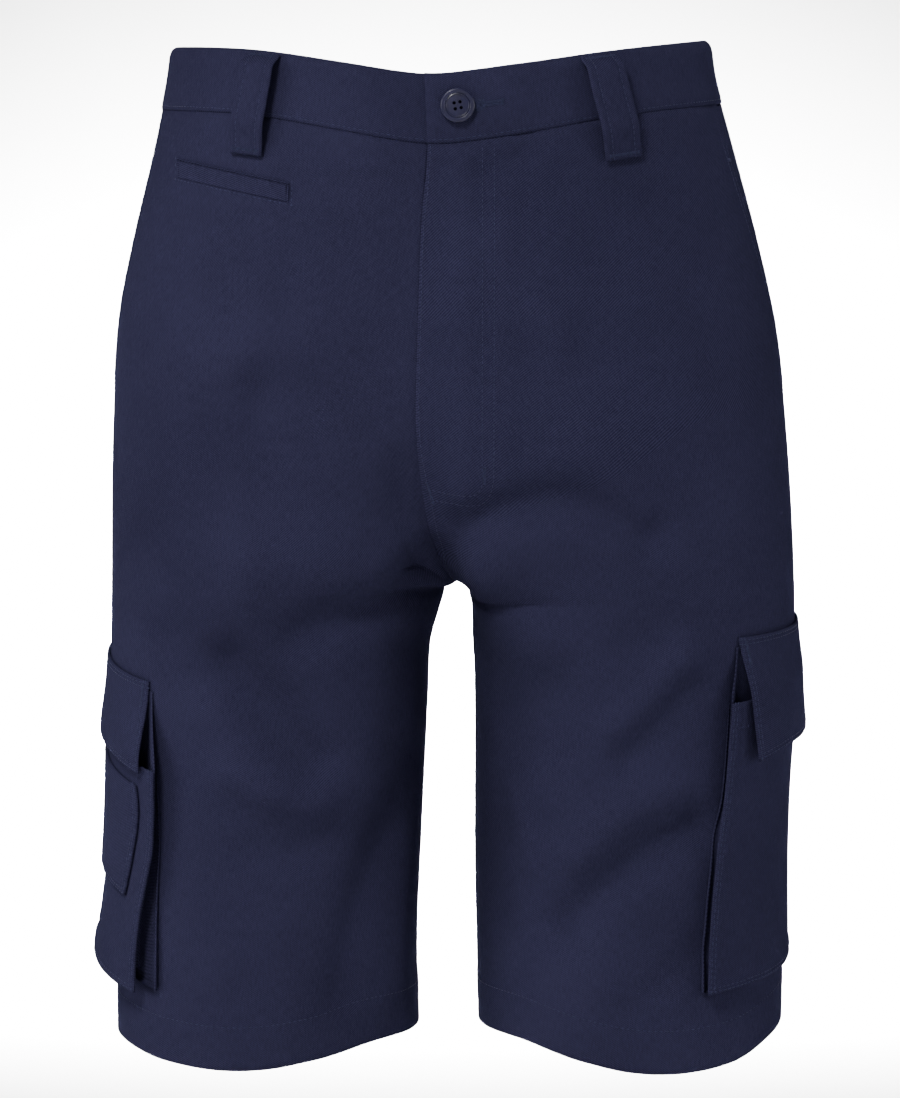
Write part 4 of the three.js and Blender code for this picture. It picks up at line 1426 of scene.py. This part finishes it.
def beside(side, angle, drop, distance):
    """Angle that lies a distance round from another, towards the front."""
    step = 0.02
    reach = form_point(side, angle + step, drop) - form_point(side, angle - step, drop)
    return angle + distance * 2 * step / np.linalg.norm(reach, axis=-1)


def sew_body(sewing):
    for side, label in SIDES.items():
        for sign, face in ((1, "front"), (-1, "back")):
            angle = sign * np.linspace(0.012, np.pi - 0.012, 420)
            sew_at(sewing, f"{face}_{label}", side, angle, hem_drop(side, angle) - HEM_ROW)
        drop = np.linspace(37, 500, 360)
        for row in SEAM_ROWS:
            angle = beside(side, np.full(drop.shape, -TRIM), drop, -row)
            sew_at(sewing, f"back_{label}", side, angle, drop)
        drop = np.linspace(37, MOUTH_BOTTOM - 2, 120)
        for row in MOUTH_ROWS:
            angle = beside(side, mouth_angle(side, drop), drop, row)
            sew_at(sewing, f"front_{label}", side, angle, drop)
        for drop in (np.full(12, 44.0), np.full(12, MOUTH_BOTTOM - 4.0)):
            angle = beside(side, mouth_angle(side, drop), drop, np.linspace(0.6, 7, 12))
            sew_at(sewing, f"front_{label}", side, angle, drop, kind="tack")
    drop = np.linspace(38, CROTCH_DROP - 2, 240)
    for row in SEAM_ROWS:
        _, _, meet = section_at(1, drop)
        sew_at(sewing, "back_right", 1, beside(1, -meet, drop, row), drop)
    sew_fly(sewing)
    sew_welt(sewing)


def sew_across(sewing, name, side, x, drop, kind="row"):
    """Sew along a path given by its distance across the front and its drop."""
    sew_at(sewing, name, side, angle_at_x(side, drop, x), drop, kind=kind)


def angle_at_x(side, drop, x):
    """Angle on the front at which the finished form, with its shifted centre line, reaches x."""
    guess = np.asarray(x, float).copy()
    for _ in range(12):
        angle = angle_across(side, drop, guess)
        guess = guess + (x - form_point(side, angle, drop)[..., 0])
    return angle_across(side, drop, guess)


FLY_ROWS = rows(
    "across straight bottom turn stop",
    (16.4, 213, 220.5, 6, -13.2),
    (22.6, 208, 226.8, 9, -12.4),
)


def sew_fly(sewing):
    """The fly's two curved rows, its edge row and its bar tacks."""
    for row in FLY_ROWS:
        down = np.linspace(38, row["straight"], 110)
        turn = np.linspace(0, np.pi / 2, 40)
        level = row["across"] - row["turn"]
        flat = np.linspace(level, row["stop"], 40)
        xs = np.concatenate([np.full(down.shape, row["across"]), level + row["turn"] * np.cos(turn), flat])
        low = row["straight"] + (row["bottom"] - row["straight"]) * np.sin(turn)
        drops = np.concatenate([down, low, np.full(flat.shape, row["bottom"])])
        sew_across(sewing, "front_right", 1, xs, drops)
    drop = np.linspace(37, CROTCH_DROP - 5, 300)
    _, _, meet = section_at(1, drop)
    sew_at(sewing, "front_right", 1, beside(1, meet, drop, -1.1), drop)
    sew_across(sewing, "front_right", 1, np.full(14, 17.6), np.linspace(205, 214, 14), "tack")
    sew_across(sewing, "front_right", 1, np.linspace(-14.4, -11.2, 14), np.linspace(216, 230, 14), "tack")


def sew_welt(sewing):
    """The stitched box round the ends and foot of the welt."""
    over, under = -0.024, 1.14
    corners = [(over, 0.02), (over, under), (1 - over, under), (1 - over, -0.05)]
    for (u0, v0), (u1, v1) in zip(corners, corners[1:]):
        t = np.linspace(0, 1, 60)
        sew_at(sewing, "front_left", -1, *welt_place(lerp(u0, u1, t), lerp(v0, v1, t)))


def sew_band(sewing):
    for side, label in SIDES.items():
        u = np.linspace(0.003, 0.997, 420)
        angle, low = band_place(side, u, np.zeros(u.shape))
        sew_at(sewing, f"waistband_{label}", side, angle, low - BAND_ROW, out=2)
    for loop in LOOPS:
        v = np.linspace(0.02, 0.985, 70)
        normal = loop_normal(loop, v)
        for u in LOOP_ROWS:
            sewing.sew(loop["name"], loop_point(loop, np.full(v.shape, u), v, 2), normal)
        u = np.linspace(0.1, 0.9, 30)
        for height in (0.045, 0.965):
            v = np.full(u.shape, height)
            sewing.sew(loop["name"], loop_point(loop, u, v, 2), loop_normal(loop, v), "tack")
    sew_buttonhole(sewing)


def loop_normal(loop, v):
    angle = np.radians(lerp(loop["foot"], loop["head"], v))
    return form_normal(loop["side"], angle, 10.0)


def sew_buttonhole(sewing):
    """The worked buttonhole that runs out from under the button: thick near it, then a narrow slit."""
    t = np.linspace(0, 1, 40)

    def line(x):
        return lerp(15.6, 13.2, (x - 12) / 15.5)

    for offset in (-2.6, -1.3, 0.0, 1.3, 2.6):
        x = lerp(11.0, 17.6 - 0.3 * abs(offset), t)
        sew_across(sewing, "waistband_right", 1, x, line(x) + offset, "hole")
    for offset in (-0.75, 0.75):
        x = lerp(17.0, 26.0, t)
        sew_across(sewing, "waistband_right", 1, x, line(x) + offset, "hole")
    drop = line(26.6) + lerp(-1.5, 1.5, t)
    sew_across(sewing, "waistband_right", 1, np.full(t.shape, 26.6), drop, "hole")


def inset_paths(distance, width, length):
    """Down one side, across the foot and up the other, all a distance in from the edge, as u and v."""
    u, v = distance / width, 1 - distance / length
    t = np.linspace(0, 1, 90)
    return [
        (np.full(t.shape, 1 - u), v * t),
        (lerp(1 - u, u, t), np.full(t.shape, v)),
        (np.full(t.shape, u), v * (1 - t)),
    ]


def sew_pockets(sewing):
    for side, label in SIDES.items():
        for row in POCKET_ROWS:
            for u, v in inset_paths(row, *bag_size(side)):
                sew_at(sewing, f"cargo_bag_{label}", side, *bag_place(side, u, v, 0))
        sew_flap(sewing, side, f"cargo_flap_{label}")
    for row in POCKET_ROWS:
        for u, v in inset_paths(row, PHONE_WIDTH, PHONE_LENGTH):
            angle, drop, out = phone_place(u, v)
            sew_at(sewing, "phone_pocket", -1, angle, drop, out + 2)


def sew_flap(sewing, side, name):
    width, length = flap_size(side)
    t = np.linspace(0, 1, 110)
    for row in POCKET_ROWS:
        paths = inset_paths(row, width, length) + [(t, np.full(t.shape, row / length))]
        for u, v in paths:
            sewing.sew(name, flap_point(side, u, v, 2), flap_normal(side, u))
    for u0 in (4.0 / width, 1 - 4.0 / width):
        v = np.linspace(2 / length, 13 / length, 16)
        u = np.full(v.shape, u0)
        sewing.sew(name, flap_point(side, u, v, 2), flap_normal(side, u), "tack")


def flap_normal(side, u):
    p = POCKET[side]
    return form_normal(side, np.radians(lerp(p["flap_back"], p["flap_front"], u)), 330.0)


class SHORTS_OT_stitching(bpy.types.Operator):
    """Sew the rows of stitches, the bar tacks and the buttonhole"""

    bl_idname = "shorts.stitching"
    bl_label = "Stitching"

    def execute(self, context):
        for part, sew in (("body", sew_body), ("band", sew_band), ("pockets", sew_pockets)):
            sewing = Sewing()
            sew(sewing)
            sewing.make(f"stitching_{part}")
        return {"FINISHED"}


class SHORTS_OT_stage(bpy.types.Operator):
    """Make the floor, the lights and the camera"""

    bl_idname = "shorts.stage"
    bl_label = "Stage"

    def execute(self, context):
        stage = context.scene.shorts_stage
        camera = bpy.data.cameras.new("camera")
        camera.lens = stage.lens
        camera.clip_start, camera.clip_end = 0.1, 50
        holder = add_object("camera", camera)
        target = Vector(stage.target)
        back = Vector((0, -math.cos(stage.elevation), math.sin(stage.elevation)))
        holder.location = target + back * stage.distance
        holder.rotation_euler = (-back).to_track_quat("-Z", "Y").to_euler()
        context.scene.camera = holder
        self.floor(context)
        self.lights(context)
        return {"FINISHED"}

    def floor(self, context):
        """A pale sweep: a level floor that curves up behind."""
        z, back, radius, half = -0.95, 4.0, 1.5, 9.0
        profile = [(-9.0, z), (back - radius, z)]
        for i in range(1, 13):
            turn = math.pi / 2 * i / 12
            profile.append((back - radius + radius * math.sin(turn), z + radius * (1 - math.cos(turn))))
        profile.append((back, z + 9))
        points = [(x, y, h) for y, h in profile for x in (-half, half)]
        faces = [(2 * i, 2 * i + 1, 2 * i + 3, 2 * i + 2) for i in range(len(profile) - 1)]
        mesh = bpy.data.meshes.new("studio_floor")
        mesh.from_pydata(points, [], faces)
        shade_smooth(mesh)
        floor = add_object("studio_floor", mesh)
        f = Finish("studio_white")
        colour = f.tones(f.noise(f.place(), 3.0), (1, 1, 1), 0.90, 0.93, start=0.3)
        floor.data.materials.append(f.finish({"Base Color": colour, "Roughness": 0.9}))

    def lights(self, context):
        world = bpy.data.worlds.new("studio")
        world.use_nodes = True
        background = world.node_tree.nodes["Background"]
        background.inputs["Color"].default_value = (1, 1, 1, 1)
        background.inputs["Strength"].default_value = context.scene.shorts_stage.room_light
        context.scene.world = world
        softboxes = rows(
            "name place aim size power spread",
            ("key", (-0.9, -2.2, 1.9), (0, 0, -0.25), 0.7, 84, 180),
            ("left", (-2.4, -0.9, 0.4), (0, 0, -0.3), 1.2, 36, 180),
            ("front", (0.9, -3.0, -0.2), (0, 0, -0.3), 1.6, 9, 180),
            ("right", (2.4, -0.8, 0.2), (0, 0, -0.3), 1.2, 24, 180),
            ("backdrop_left", (-0.9, 1.7, 1.5), (-0.1, 3.0, -0.95), 1.0, 400, 60),
            ("backdrop_right", (0.9, 1.7, 1.5), (0.1, 3.0, -0.95), 1.0, 400, 60),
        )
        for box in softboxes:
            light = bpy.data.lights.new(box["name"], "AREA")
            light.size = box["size"]
            light.energy = box["power"]
            light.spread = math.radians(box["spread"])
            holder = add_object(box["name"], light)
            holder.location = box["place"]
            holder.visible_camera = False
            aim = Vector(box["aim"]) - Vector(box["place"])
            holder.rotation_euler = aim.to_track_quat("-Z", "Y").to_euler()


STEPS = [
    SHORTS_OT_leg_panels,
    SHORTS_OT_waistband,
    SHORTS_OT_openings,
    SHORTS_OT_cargo_pockets,
    SHORTS_OT_belt_loops,
    SHORTS_OT_button,
    SHORTS_OT_stitching,
    SHORTS_OT_stage,
]


class SHORTS_PT_build(bpy.types.Panel):
    bl_label = "Cargo shorts"
    bl_space_type = "VIEW_3D"
    bl_region_type = "UI"
    bl_category = "Shorts"

    def draw(self, context):
        for step in STEPS:
            self.layout.operator(step.bl_idname)


CLASSES = [ShortsCloth, ShortsStage, *STEPS, SHORTS_PT_build]


def register():
    for cls in CLASSES:
        bpy.utils.register_class(cls)
    bpy.types.Scene.shorts_cloth = bpy.props.PointerProperty(type=ShortsCloth)
    bpy.types.Scene.shorts_stage = bpy.props.PointerProperty(type=ShortsStage)


def unregister():
    del bpy.types.Scene.shorts_stage
    del bpy.types.Scene.shorts_cloth
    for cls in reversed(CLASSES):
        bpy.utils.unregister_class(cls)


def main():
    register()
    bpy.ops.shorts.leg_panels()
    bpy.ops.shorts.waistband()
    bpy.ops.shorts.openings()
    bpy.ops.shorts.cargo_pockets()
    bpy.ops.shorts.belt_loops()
    bpy.ops.shorts.button()
    bpy.ops.shorts.stitching()
    bpy.ops.shorts.stage()


if __name__ == "__main__":
    main()
